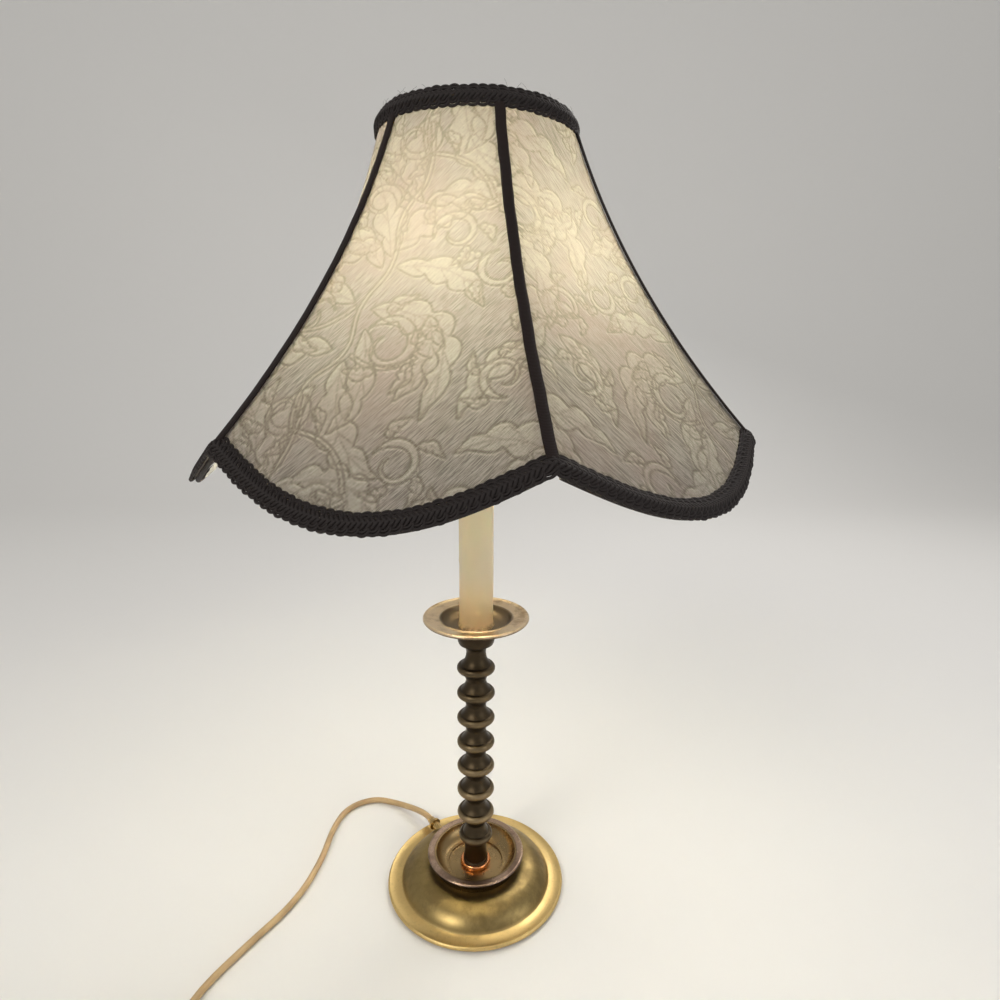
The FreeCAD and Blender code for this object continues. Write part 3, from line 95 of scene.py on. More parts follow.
class Shader:
    """One material's node tree, with short calls for its nodes."""

    def __init__(self, name):
        self.material = bpy.data.materials.new(name)
        self.material.use_nodes = True
        self.tree = self.material.node_tree
        self.tree.nodes.clear()
        self.output = self.tree.nodes.new("ShaderNodeOutputMaterial")

    def add(self, kind, inputs=None, out=0, **properties):
        """Adds a node, sets its sockets by name or number, and gives one of its outputs."""
        node = self.tree.nodes.new(kind)
        for key, value in properties.items():
            setattr(node, key, value)
        for key, value in (inputs or {}).items():
            if isinstance(value, bpy.types.NodeSocket):
                self.tree.links.new(value, node.inputs[key])
            else:
                node.inputs[key].default_value = value
        return node.outputs[out]

    def math(self, operation, a, b=0.0):
        return self.add("ShaderNodeMath", {0: a, 1: b}, operation=operation)

    def plus(self, a, b):
        return self.math("ADD", a, b)

    def times(self, a, b):
        return self.math("MULTIPLY", a, b)

    def mix(self, share, a, b):
        """Colour between a and b."""
        node = self.tree.nodes.new("ShaderNodeMix")
        node.data_type = "RGBA"
        for index, value in ((0, share), (6, a), (7, b)):
            if isinstance(value, bpy.types.NodeSocket):
                self.tree.links.new(value, node.inputs[index])
            elif index:
                node.inputs[index].default_value = (*value, 1)
            else:
                node.inputs[index].default_value = value
        return node.outputs[2]

    def step(self, value, low, high, start=0.0, end=1.0):
        """Smooth step from start at low to end at high."""
        return self.add("ShaderNodeMapRange", {0: value, 1: low, 2: high, 3: start, 4: end},
                        interpolation_type="SMOOTHSTEP")

    def noise(self, where, scale, detail=3.0, rough=0.55):
        """Value of a cloudy noise; scale is in lumps to the metre."""
        return self.add("ShaderNodeTexNoise",
                        {"Vector": where, "Scale": scale, "Detail": detail, "Roughness": rough})

    def stretched(self, where, scales):
        """The vector where with each part times its own scale."""
        return self.add("ShaderNodeVectorMath", {0: where, 1: scales}, operation="MULTIPLY")

    def place(self):
        """Place on the piece at rest, from the foot of the lamp's axis."""
        spot = self.add("ShaderNodeTexCoord", out=3)
        return self.add("ShaderNodeVectorMath", {0: spot, 1: tuple(AXIS)}, operation="SUBTRACT")

    def attribute(self, name):
        """A vector that the mesh holds at each point."""
        return self.add("ShaderNodeAttribute", out=1, attribute_name=name)

    def split(self, vector):
        """The three parts of a vector or colour."""
        node = self.tree.nodes.new("ShaderNodeSeparateXYZ")
        self.tree.links.new(vector, node.inputs[0])
        return node.outputs

    def spun(self):
        """Distance from the axis, height, and a vector of both for marks that run round the axis."""
        x, y, z = self.split(self.place())
        flat = self.math("SQRT", self.plus(self.times(x, x), self.times(y, y)))
        return flat, z, self.add("ShaderNodeCombineXYZ", {0: flat, 1: z})

    def soft_edges(self, radius):
        """Normal that rounds the sharp edges of a piece."""
        return self.add("ShaderNodeBevel", {"Radius": radius}, samples=4)

    def bump(self, height, distance, strength=1.0, normal=None):
        """Normal of a relief, distance metres high, over another normal."""
        inputs = {"Height": height, "Distance": distance, "Strength": strength}
        if normal is not None:
            inputs["Normal"] = normal
        return self.add("ShaderNodeBump", inputs)

    def principled(self, **inputs):
        """Principled surface; an underscore stands for a space in a socket's name."""
        names = {key.replace("_", " "): value for key, value in inputs.items()}
        if "Base Color" in names and not isinstance(names["Base Color"], bpy.types.NodeSocket):
            names["Base Color"] = (*names["Base Color"], 1)
        return self.add("ShaderNodeBsdfPrincipled", names)

    def metallic(self, colour, rough, normal):
        """Material of a bare metal."""
        return self.finish(self.principled(Base_Color=colour, Metallic=1.0, Roughness=rough,
                                           Normal=normal))

    def cloth(self, front, through, share):
        """Material of a cloth that passes light; share of it is the light that comes through."""
        return self.finish(self.add("ShaderNodeMixShader", {0: share, 1: front, 2: through}))

    def finish(self, surface):
        """The material, once its surface is made."""
        self.tree.links.new(surface, self.output.inputs[0])
        return self.material


def metal(name, tone, dark, rough=0.28, wear=0.5, grain=2600, zone=None):
    """Spun and aged metal: fine turning marks round the axis, blotchy patina, soft edges.
    zone is (low radius, high radius, tone) for a brighter or darker ring of the piece."""
    s = Shader(name)
    radius, _, rings = s.spun()
    spot = s.place()
    blotch = s.step(s.noise(spot, 46, 5, 0.62), 0.40, 0.66)
    fine = s.noise(spot, 420, 4, 0.6)
    colour = s.mix(s.times(blotch, wear), tone, dark)
    if zone:
        low, high, other = zone
        colour = s.mix(s.step(radius, low, high), colour, other)
    colour = s.mix(s.times(s.step(fine, 0.5, 0.75), 0.35 * wear), colour, dark)
    marks = s.noise(rings, grain, 2, 0.5)
    roughness = s.plus(s.times(marks, 0.16), s.plus(s.times(blotch, 0.14), rough - 0.1))
    normal = s.bump(marks, 0.00004, 0.5, s.soft_edges(0.0004))
    normal = s.bump(fine, 0.00006, 0.25, normal)
    return s.metallic(colour, roughness, normal)


def plain(name, tone, dark, rough=0.5, grain=900, depth=0.0001, metallic=0.0):
    """Moulded, cast or painted surface with a fine grain."""
    s = Shader(name)
    spot = s.place()
    cloud = s.noise(spot, 70, 4, 0.6)
    grains = s.noise(spot, grain, 3, 0.6)
    colour = s.mix(s.step(cloud, 0.35, 0.7), tone, dark)
    roughness = s.plus(s.times(grains, 0.2), rough - 0.1)
    normal = s.bump(grains, depth, 0.6, s.soft_edges(0.0003))
    return s.finish(s.principled(Base_Color=colour, Metallic=metallic, Roughness=roughness,
                                 Normal=normal))


def turned_metal(s, colour, rings, blotch, rough, spread=0.25, grain=2400, depth=0.00004, edge=0.0005):
    """Ends the material of a turned piece: tool marks round the axis, and blotches that are rougher."""
    normal = s.bump(s.noise(rings, grain, 2), depth, 0.5, s.soft_edges(edge))
    return s.metallic(colour, s.plus(s.times(blotch, spread), rough), normal)


def base_brass():
    """Olive-gold dome that turns to a bright gold flange."""
    return metal("base_brass", (0.33, 0.24, 0.095), (0.13, 0.09, 0.04), 0.36, 0.55,
                 zone=(0.0575, 0.0600, (0.66, 0.48, 0.20)))


def cup_bronze():
    """Brownish rim and a golden inside; the outer side below the rim is painted near-black as shade."""
    s = Shader("cup_bronze")
    radius, _, rings = s.spun()
    facing = s.split(s.add("ShaderNodeNewGeometry", out=3))[2]
    blotch = s.noise(s.place(), 60, 5, 0.65)
    # Past 34.5 mm from the axis the cup is painted near-black, as shade under its rim; faces there that
    # look up take the rim colour instead.
    wall_with_painted_shade = s.mix(s.step(radius, 0.0315, 0.0345), (0.34, 0.235, 0.11), (0.04, 0.028, 0.024))
    rim = s.mix(s.step(blotch, 0.42, 0.62), (0.44, 0.31, 0.225), (0.24, 0.16, 0.115))
    on_rim = s.times(s.step(facing, 0.1, 0.7), s.step(radius, 0.0325, 0.0338))
    return turned_metal(s, s.mix(on_rim, wall_with_painted_shade, rim), rings, blotch, 0.16)


def pan_brass():
    """Creamy flange above and stained well; faces that look down are painted darker, as shade under the
    pan.
    """
    s = Shader("pan_brass")
    radius, _, rings = s.spun()
    facing = s.split(s.add("ShaderNodeNewGeometry", out=3))[2]
    blotch = s.noise(s.place(), 80, 5, 0.65)
    flange = s.mix(s.step(blotch, 0.45, 0.68), (0.66, 0.52, 0.35), (0.38, 0.27, 0.165))
    well = s.mix(s.step(radius, 0.0262, 0.0285), (0.20, 0.145, 0.085), flange)
    # Faces that look down take this darker colour: painted shade under the pan.
    painted_underside_shade = s.mix(blotch, (0.10, 0.07, 0.04), (0.20, 0.13, 0.07))
    colour = s.mix(s.step(facing, -0.25, 0.1), painted_underside_shade, well)
    return turned_metal(s, colour, rings, blotch, 0.2, edge=0.0004)


def column_bronze():
    """Dark olive bronze, rubbed brighter on the rims of the beads, the brightening fading towards the
    top; a band just under the drip pan is painted dark as its shadow.
    """
    s = Shader("column_bronze")
    radius, height, rings = s.spun()
    blotch = s.noise(s.place(), 90, 5, 0.65)
    worn = s.times(s.step(radius, 0.0118, 0.0143), s.step(blotch, 0.3, 0.55, 0.45, 1.0))
    low = s.step(height, 0.20, 0.05, 0.25, 1.0)
    colour = s.mix(s.times(worn, low), (0.060, 0.044, 0.026), (0.29, 0.215, 0.12))
    # A band just under the drip pan is painted dark: painted shadow of the pan.
    colour = s.mix(s.step(height, 0.196, 0.206), colour, (0.05, 0.036, 0.022))
    return turned_metal(s, colour, rings, blotch, 0.26, 0.3, 3000, 0.00005)


def lit_glass():
    """Frosted glass that glows."""
    s = Shader("lit_glass")
    frost = s.noise(s.place(), 1400, 2)
    return s.finish(s.principled(
        Base_Color=(0.95, 0.93, 0.88), Roughness=0.45, Normal=s.bump(frost, 0.00005, 0.4),
        Emission_Color=(0.97, 0.91, 0.70, 1), Emission_Strength=BULB_GLOW))


def wax():
    """Ivory sleeve that turns warm orange towards its foot, a painted glow of warm light there; its
    last millimetres darker in blotches.
    """
    s = Shader("wax")
    _, height, _ = s.spun()
    spot = s.place()
    cloud = s.noise(spot, 60, 4)
    low = s.plus(height, s.times(cloud, 0.012))
    # Warmer towards the foot: a painted glow of warm light on the lower sleeve.
    painted_glow_share = s.step(low, CANDLE_LOW + 0.058, CANDLE_LOW + 0.010)
    colour = s.mix(painted_glow_share, (0.74, 0.61, 0.42), (0.80, 0.55, 0.29))
    # Darker in blotches over the last 5 mm of the foot.
    foot_darkening = s.times(s.step(height, CANDLE_LOW + 0.005, CANDLE_LOW + 0.0005),
                   s.step(s.noise(spot, 300, 4), 0.35, 0.6, 0.3, 1.0))
    colour = s.mix(foot_darkening, colour, (0.20, 0.11, 0.05))
    normal = s.bump(s.noise(spot, 220, 4), 0.0004, 0.35)
    return s.finish(s.principled(
        Base_Color=colour, Roughness=0.42, Normal=normal, Subsurface_Weight=0.35,
        Subsurface_Radius=(0.006, 0.0035, 0.0018), Subsurface_Scale=1.0))


def damask():
    """Slubbed cloth with tone-on-tone leaf scrolls; the ornament comes with the mesh."""
    s = Shader("damask_cloth")
    thread = s.attribute("thread")
    leaf, line, light = s.split(s.attribute("pattern"))
    slub = s.noise(s.stretched(thread, (95, 1900, 1)), 1.0, 4, 0.65)
    yarn = s.noise(s.stretched(thread, (300, 3600, 1)), 1.0, 2, 0.6)
    weft = s.noise(s.stretched(thread, (2600, 420, 1)), 1.0, 2, 0.6)
    cloud = s.noise(thread, 16, 3)
    ground = s.mix(s.step(slub, 0.38, 0.60), (0.115, 0.100, 0.096), (0.34, 0.312, 0.295))
    satin = s.mix(s.step(weft, 0.3, 0.7), (0.36, 0.332, 0.296), (0.55, 0.515, 0.452))
    colour = s.mix(s.times(leaf, 0.42), ground, satin)
    colour = s.mix(s.step(cloud, 0.4, 0.7, 0.0, 0.5), colour, (0.25, 0.185, 0.185))
    broken = s.times(line, s.step(yarn, 0.40, 0.54, 0.15, 1.0))
    colour = s.mix(s.times(broken, 0.9), colour, (0.080, 0.060, 0.045))
    # A pale line beside each outline: a painted highlight, as of an embossed edge.
    colour = s.mix(s.times(light, 0.35), colour, (0.66, 0.60, 0.53))
    colour = s.mix(s.step(yarn, 0.56, 0.68, 0.0, 0.6), colour, (0.085, 0.06, 0.055))
    height = s.plus(slub, s.times(leaf, 0.2))
    normal = s.bump(height, 0.00015, 0.3)
    front = s.principled(Base_Color=colour, Roughness=0.75, Normal=normal, Sheen_Weight=0.15,
                         Specular_IOR_Level=0.2)
    warm = s.mix(0.12, colour, (0.98, 1.0, 0.86))
    through = s.add("ShaderNodeBsdfTranslucent", {"Color": warm, "Normal": normal})
    return s.cloth(front, through, 0.5)


def lining_cloth():
    """White satin that spreads the light."""
    s = Shader("lining_cloth")
    weave = s.noise(s.stretched(s.place(), (1800, 1800, 500)), 1.0, 2)
    colour = s.mix(weave, (0.80, 0.78, 0.73), (0.92, 0.90, 0.86))
    normal = s.bump(weave, 0.0001, 0.5)
    front = s.principled(Base_Color=colour, Roughness=0.55, Normal=normal, Sheen_Weight=0.2)
    through = s.add("ShaderNodeBsdfTranslucent", {"Color": (0.9, 0.88, 0.83, 1), "Normal": normal})
    return s.cloth(front, through, 0.55)


def braid_yarn():
    """Near-black brown yarn with a twist."""
    s = Shader("braid_yarn")
    spot = s.place()
    fibre = s.noise(spot, 2600, 3, 0.7)
    lay = s.noise(spot, 700, 3, 0.6)
    colour = s.mix(s.step(fibre, 0.3, 0.7), (0.005, 0.0025, 0.002), (0.012, 0.006, 0.005))
    colour = s.mix(s.step(lay, 0.5, 0.8, 0.0, 0.4), colour, (0.024, 0.011, 0.008))
    normal = s.bump(fibre, 0.0002, 0.8)
    return s.finish(s.principled(
        Base_Color=colour, Roughness=0.66, Normal=normal, Specular_IOR_Level=0.4,
        Sheen_Weight=0.06, Sheen_Roughness=0.4, Sheen_Tint=(0.5, 0.33, 0.26, 1)))


def strip_tape():
    """Flat dark ribbed tape."""
    s = Shader("strip_tape")
    thread = s.attribute("thread")
    ribs = s.add("ShaderNodeTexWave", {"Vector": thread, "Scale": 420, "Distortion": 0.6, "Detail": 2},
                 out=1, bands_direction="Y")
    fibre = s.noise(s.stretched(thread, (3000, 900, 1)), 1.0, 2)
    colour = s.mix(fibre, (0.005, 0.0025, 0.002), (0.016, 0.007, 0.005))
    normal = s.bump(s.plus(ribs, fibre), 0.00015, 0.6)
    return s.finish(s.principled(
        Base_Color=colour, Roughness=0.7, Normal=normal, Specular_IOR_Level=0.25,
        Sheen_Weight=0.02, Sheen_Tint=(0.5, 0.3, 0.25, 1)))


def flex_skin(name, tone, dark):
    """Satin plastic skin of a cord or its plug."""
    s = Shader(name)
    spot = s.place()
    grains = s.noise(spot, 1500, 3)
    colour = s.mix(s.step(s.noise(spot, 40, 4), 0.35, 0.7), tone, dark)
    return s.finish(s.principled(Base_Color=colour, Roughness=0.38, Normal=s.bump(grains, 0.00008, 0.4),
                                 Subsurface_Weight=0.1, Subsurface_Radius=(0.002, 0.001, 0.0006)))


BULB_GLOW = 74.0
BASE_BRASS = base_brass()
CUP = cup_bronze()
PAN = pan_brass()
COLUMN = column_bronze()
COPPER = metal("copper_nut", (0.92, 0.40, 0.17), (0.45, 0.16, 0.06), 0.2, 0.4)
FRAME_BRASS = metal("frame_brass", (0.72, 0.50, 0.21), (0.36, 0.22, 0.09), 0.26, 0.45)
SOCKET_BRASS = metal("socket_brass", (0.80, 0.58, 0.26), (0.44, 0.28, 0.11), 0.22, 0.35)
FINIAL_BRASS = metal("finial_brass", (0.60, 0.41, 0.16), (0.24, 0.15, 0.07), 0.25, 0.6)
STEEL = metal("plated_steel", (0.62, 0.61, 0.58), (0.36, 0.34, 0.31), 0.3, 0.4)
ALUMINIUM = metal("bulb_aluminium", (0.80, 0.80, 0.79), (0.58, 0.57, 0.55), 0.3, 0.3)
CONTACT = metal("contact_brass", (0.82, 0.62, 0.30), (0.5, 0.35, 0.15), 0.25, 0.3)
WIRE = metal("shade_wire", (0.60, 0.47, 0.26), (0.30, 0.21, 0.10), 0.35, 0.5)
IRON = plain("cast_iron", (0.09, 0.085, 0.08), (0.045, 0.04, 0.038), 0.7, 500, 0.0004, 0.6)
FELT = plain("felt", (0.030, 0.055, 0.035), (0.018, 0.035, 0.022), 0.95, 1800, 0.0005)
CARD = plain("card", (0.42, 0.31, 0.19), (0.30, 0.22, 0.13), 0.85, 1200, 0.0002)
MOULDING = plain("dark_moulding", (0.030, 0.022, 0.018), (0.018, 0.013, 0.011), 0.32, 700)
LEAD_SKIN = plain("lead_skin", (0.75, 0.70, 0.60), (0.60, 0.54, 0.44), 0.45)
GLASS = lit_glass()
WAX = wax()
CLOTH = damask()
LINING = lining_cloth()
YARN = braid_yarn()
TAPE = strip_tape()
CORD_SKIN = flex_skin("cord_skin", (0.52, 0.36, 0.18), (0.40, 0.27, 0.13))
PLUG_SKIN = flex_skin("plug_skin", (0.44, 0.30, 0.15), (0.34, 0.23, 0.11))
TIE_SKIN = plain("tie_skin", (0.030, 0.028, 0.027), (0.018, 0.017, 0.016), 0.5)

CAD_MATERIALS = {
    FELT: ["felt_pad"],
    IRON: ["base_weight"],
    BASE_BRASS: ["base_shell"],
    CUP: ["base_cup"],
    COPPER: ["lock_collar"],
    STEEL: ["threaded_stem", "stem_nut"],
    COLUMN: ["column"],
    PAN: ["drip_pan"],
    FRAME_BRASS: ["candle_cap", "harp_saddle", "harp", "left_ferrule", "right_ferrule", "harp_stud"],
    FINIAL_BRASS: ["finial", "cord_bushing"],
    SOCKET_BRASS: ["socket_cap", "socket_shell", "switch_shaft"],
    CARD: ["socket_liner"],
    MOULDING: ["socket_body", "switch_knob"],
    ALUMINIUM: ["screw_shell", "bulb_cap"],
    CONTACT: ["centre_contact", "bulb_tip"],
    GLASS: ["bulb_glass"],
    WIRE: ["top_ring", "shade_spider", "shade_ribs"],
    YARN: ["edge_wire"],     # wrapped in the trim's own yarn
    LEAD_SKIN: ["supply_wires"],
}
for material, names in CAD_MATERIALS.items():
    for node_name in names:
        node_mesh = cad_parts[node_name].data
        node_mesh.materials.clear()
        node_mesh.materials.append(material)


# -------------------- meshes

def new_piece(name, points, faces, material, smooth=True, attributes=None):
    """A mesh object from arrays; attributes are vectors for each point."""
    mesh = bpy.data.meshes.new(name)
    mesh.from_pydata(np.asarray(points, float).tolist(), [], [list(map(int, f)) for f in faces])
    for key, values in (attributes or {}).items():
        layer = mesh.attributes.new(key, "FLOAT_VECTOR", "POINT")
        layer.data.foreach_set("vector", np.asarray(values, np.float32).ravel())
    if smooth:
        mesh.polygons.foreach_set("use_smooth", [True] * len(mesh.polygons))
    mesh.materials.append(material)
    mesh.update()
    return add_object(name, mesh)


def grid_faces(rows, columns, closed=False, offset=0):
    """Quads over a grid of points stored row by row; closed joins the last column to the first."""
    row = np.arange(rows - 1)[:, None] * columns
    column = np.arange(columns if closed else columns - 1)[None, :]
    following = (column + 1) % columns
    a, b = row + column, row + following
    return np.stack([a, b, b + columns, a + columns], axis=-1).reshape(-1, 4) + offset


def unit(vectors):
    return vectors / np.maximum(np.linalg.norm(vectors, axis=-1, keepdims=True), 1e-12)


class Yarns:
    """Gathers round strands into one mesh."""

    def __init__(self):
        self.points, self.faces, self.count = [], [], 0

    def add(self, line, up, radius, sides=6, flat=1.0):
        """Strand along a line; up is the direction of its height at each point."""
        line, up = np.asarray(line, float), np.asarray(up, float)
        along = unit(np.gradient(line, axis=0))
        side = unit(np.cross(along, up))
        over = np.cross(side, along)
        turn = 2 * np.pi * np.arange(sides) / sides
        radius = np.broadcast_to(np.asarray(radius, float), len(line))[:, None, None]
        rings = line[:, None] + radius * (np.cos(turn)[None, :, None] * side[:, None]
                                          + flat * np.sin(turn)[None, :, None] * over[:, None])
        self.points.append(rings.reshape(-1, 3))
        self.faces.append(grid_faces(len(line), sides, True, self.count))
        self.count += len(line) * sides

    def piece(self, name, material):
        return new_piece(name, np.concatenate(self.points), np.concatenate(self.faces), material)


def dress(piece, body, slot, *nodes):
    """Makes a piece ride on a body and stand for CAD nodes, which it hides; slot is not used."""
    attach(piece, body)
    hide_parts(*nodes)
    return piece


# -------------------- cord, coil, tie and plug

CORD_RADIUS = 2.5
ROUTE = [                   # control points from inside the bushing to the coil
    (-39.6, 52.8, 11.6), (-44.4, 59.2, 12.3), (-56.0, 73.1, 7.2), (-74.0, 87.0, 2.6),
    (-96.0, 94.0, 2.6), (-119.0, 82.0, 2.6), (-127.0, 55.0, 2.6), (-128.0, 18.0, 2.6),
    (-138.0, -24.0, 2.6), (-163.0, -62.0, 2.6), (-183.0, -96.0, 2.6), (-187.0, -124.0, 3.4),
]
TAIL_HEIGHT = 6.6
TAIL = [(-187.4, -173.0, 8.2), (-198.0, -197.0, TAIL_HEIGHT), (-221.0, -207.0, TAIL_HEIGHT)]
COIL_CENTRE = (-222.0, -150.0)
COIL_OUTER, COIL_STEP, COIL_LOW = 35.0, 5.0, 3.5
COIL_TURNS, TURN_POINTS = 9, 24
LAYER_TURNS = 4             # the turn after these climbs to the upper layer
WIDEN = 1 / (0.75 + 0.25 * math.cos(2 * math.pi / TURN_POINTS))   # the spline runs inside its points


def ease(value, low, high):
    """Smooth step from 0 at low to 1 at high."""
    share = min(1.0, max(0.0, (value - low) / (high - low)))
    return share * share * (3 - 2 * share)


def coil_points():
    """Turns wound inwards in the lower layer, then up and outwards in the upper one."""
    points = []
    for i in range(COIL_TURNS * TURN_POINTS + 1):
        turn, part = divmod(i, TURN_POINTS)
        degrees = 360 * part / TURN_POINTS
        if turn < LAYER_TURNS:
            inwards, outwards, lift = turn + ease(degrees, 230, 335), 0, 0
        elif turn == LAYER_TURNS:
            inwards, outwards, lift = LAYER_TURNS, 0, ease(degrees, 120, 220)
        else:
            inwards, lift = LAYER_TURNS, 1
            outwards = min(turn - LAYER_TURNS - 1 + ease(degrees, 30, 110), LAYER_TURNS)
        radius = (COIL_OUTER - COIL_STEP * (inwards - outwards)) * WIDEN
        angle = -math.radians(degrees)
        points.append((COIL_CENTRE[0] + radius * math.cos(angle),
                       COIL_CENTRE[1] + radius * math.sin(angle),
                       COIL_LOW + 2 * CORD_RADIUS * lift))
    return points


def build_cord():
    """The cord as one round curve from the bushing to the plug."""
    points = ROUTE + coil_points() + TAIL
    curve = bpy.data.curves.new("cord_line", "CURVE")
    curve.dimensions = "3D"
    curve.resolution_u = 6
    curve.bevel_depth = CORD_RADIUS * MM
    curve.bevel_resolution = 6
    curve.use_fill_caps = True
    spline = curve.splines.new("NURBS")
    spline.points.add(len(points) - 1)
    for point, spot in zip(spline.points, points):
        point.co = (*at(*spot), 1)
    spline.order_u = 3
    spline.use_endpoint_u = True
    spline.use_smooth = True
    curve.materials.append(CORD_SKIN)
    cord = add_object("cord_whole", curve)
    return dress(cord, "stand", "cord_skin", "cord", "cord_coil", "cord_tail")


TIE_TURN = math.radians(205)
TIE_SECTION = [             # corners of the band, from the coil's centre and from the floor
    (10.6, 0.9), (24, 0.35), (36.5, 0.5), (38.2, 1.6), (38.2, 10.4), (36.6, 11.6), (25, 11.8),
    (12, 11.6), (10.7, 10.4),
]


def build_tie():
    """Twisted-wire tie: a flat band wound once round the coil's section, its ends twisted together."""
    out = np.array((math.cos(TIE_TURN), math.sin(TIE_TURN), 0))
    along = np.array((-math.sin(TIE_TURN), math.cos(TIE_TURN), 0))
    centre = np.array((*COIL_CENTRE, 0))
    corners = [centre + out * r + np.array((0, 0, z)) for r, z in TIE_SECTION + TIE_SECTION[:1]]
    line = []
    for a, b in zip(corners, corners[1:]):
        line += [a + (b - a) * s for s in np.linspace(0, 1, 6, endpoint=False)]
    line = np.array(line + [corners[0]])
    hub = centre + out * 24.5 + np.array((0, 0, 6))
    yarns = Yarns()
    for offset in (-1.7, 1.7):
        yarns.add([at(*p) for p in line + along * offset], unit(line - hub), 1.9 * MM, 8, 0.24)
    for phase in (0, math.pi):
        steps = np.linspace(0, 1, 40)
        swirl = 9 * steps + phase
        twist = (centre + out * (38.6 + 9 * steps[:, None]) + np.outer(0.9 * np.cos(swirl), along)
                 + np.outer(1.6 + 1.4 * steps + 0.9 * np.sin(swirl), (0, 0, 1)))
        yarns.add([at(*p) for p in twist], np.tile((0, 0, 1.0), (40, 1)), 0.9 * MM, 6, 0.5)
    return dress(yarns.piece("tie_band", TIE_SKIN), "stand", "tie", "coil_tie")


PLUG_SECTIONS = [(-14, 5.4, 5.4), (-11, 5.8, 5.8)]     # place along the plug, width and height
PLUG_SECTIONS += [                                     # ribs of the strain relief
    (-10 + 1.25 * i, 7.2 + 0.35 * i - (1.1 if i % 2 else 0), 7.0 + 0.2 * i - (0.9 if i % 2 else 0))
    for i in range(8)
]
PLUG_SECTIONS += [
    (1.5, 10.4, 8.6), (5, 13.2, 9.8), (9, 14.2, 10.2), (11, 13.6, 9.6), (13, 15.8, 10.8),
    (15, 15.6, 10.2), (17, 18.8, 12.2), (20, 20.4, 12.6), (26, 20.6, 12.6), (26.8, 19.8, 12.0),
    (27, 18.2, 10.8), (27, 0.02, 0.02),
]
SECTION_POINTS = 28
BLADE_OUTLINE = [(27, -3.1), (42.6, -3.1), (44, -1.8), (44, 1.8), (42.6, 3.1), (27, 3.1)]
BLADE_PLACES = (-6.35, 6.35)
BLADE_SIDES = (-0.75, 0.75)
HOLE_PLACE, HOLE_RADIUS, HOLE_POINTS = 39.2, 1.6, 16
NEAREST_CORNERS = [3] * 3 + [4] * 2 + [5] * 4 + [0] * 3 + [1] * 2 + [2] * 2   # of each hole point


def rounded_section(wide, high, power=3.2):
    """Points round a rectangle with soft corners."""
    turn = 2 * np.pi * np.arange(SECTION_POINTS) / SECTION_POINTS
    c, s = np.cos(turn), np.sin(turn)
    return np.stack([np.sign(c) * np.abs(c) ** (2 / power) * wide / 2,
                     np.sign(s) * np.abs(s) ** (2 / power) * high / 2], axis=1)


def build_plug_body(start, heading, side):
    """Moulded flat plug with finger ridges and a ribbed strain relief."""
    rings = []
    for distance, wide, high in PLUG_SECTIONS:
        section = rounded_section(wide, high)
        rings.append(start + heading * distance + section[:, :1] * side + section[:, 1:] * (0, 0, 1))
    points = [at(*p) for p in np.concatenate(rings)]
    body = new_piece("plug_moulding", points, grid_faces(len(rings), SECTION_POINTS, True), PLUG_SKIN)
    return dress(body, "stand", "plug_skin", "plug_body")


def build_plug_blades(start, heading, side):
    """Two flat blades, each with a hole."""
    hole = [(HOLE_PLACE + HOLE_RADIUS * math.cos(a), HOLE_RADIUS * math.sin(a))
            for a in np.linspace(0, 2 * math.pi, HOLE_POINTS, False)]
    around = len(BLADE_OUTLINE)
    points, faces = [], []
    for place in BLADE_PLACES:
        layers = []
        for thick in BLADE_SIDES:
            layers.append(len(points))
            points += [start + heading * x + side * (place + thick) + np.array((0, 0, z))
                       for x, z in BLADE_OUTLINE + hole]
        near, far = layers
        for i in range(around):
            j = (i + 1) % around
            faces.append((near + i, near + j, far + j, far + i))
        for i in range(around, around + HOLE_POINTS):
            j = around + (i + 1 - around) % HOLE_POINTS
            faces.append((near + j, near + i, far + i, far + j))
        for layer in layers:
            for k in range(HOLE_POINTS):
                following = (k + 1) % HOLE_POINTS
                inner = (layer + around + k, layer + around + following)
                a, b = layer + NEAREST_CORNERS[k], layer + NEAREST_CORNERS[following]
                faces.append((*inner, b) if a == b else (*inner, b, a))
    blades = new_piece("plug_pins", [at(*p) for p in points], faces, CONTACT, smooth=False)
    return dress(blades, "stand", "contact_brass", "plug_blades")


def build_plug():
    """The plug's body and blades, in line with the end of the cord."""
    end, before = np.array(TAIL[-1]), np.array(TAIL[-2])
    heading = unit((end - before) * (1, 1, 0))
    side = np.array((-heading[1], heading[0], 0))
    start = end * (1, 1, 0) + np.array((0, 0, TAIL_HEIGHT))
    return [build_plug_body(start, heading, side), build_plug_blades(start, heading, side)]


cord = build_cord()
tie = build_tie()
plug_pieces = build_plug()


# -------------------- shade surface

PANELS = 6
HALF_PANEL = math.pi / PANELS
SHADE_TURN = math.radians(11)
TOP_RADIUS, RIB_RADIUS, SHADE_HEIGHT = 57.8, 175.7, 188.2
RIB_SAG, RIB_LEAN = 11.6, 0.446         # how deep a rib sags, and where
PANEL_BOW, BOW_FADE = 0.1, 0.55         # roundness of a panel below, and where the ring's ends
SCALLOP_DROP = 33.5
RIB_REACH = math.hypot(RIB_RADIUS - TOP_RADIUS, SHADE_HEIGHT)
RING_HEIGHT = (RING_Z - AXIS[2]) / MM
CLOTH_OUT, LINING_OUT, BRAID_OUT, STRIP_OUT = 2.35, -1.75, 3.5, 3.4


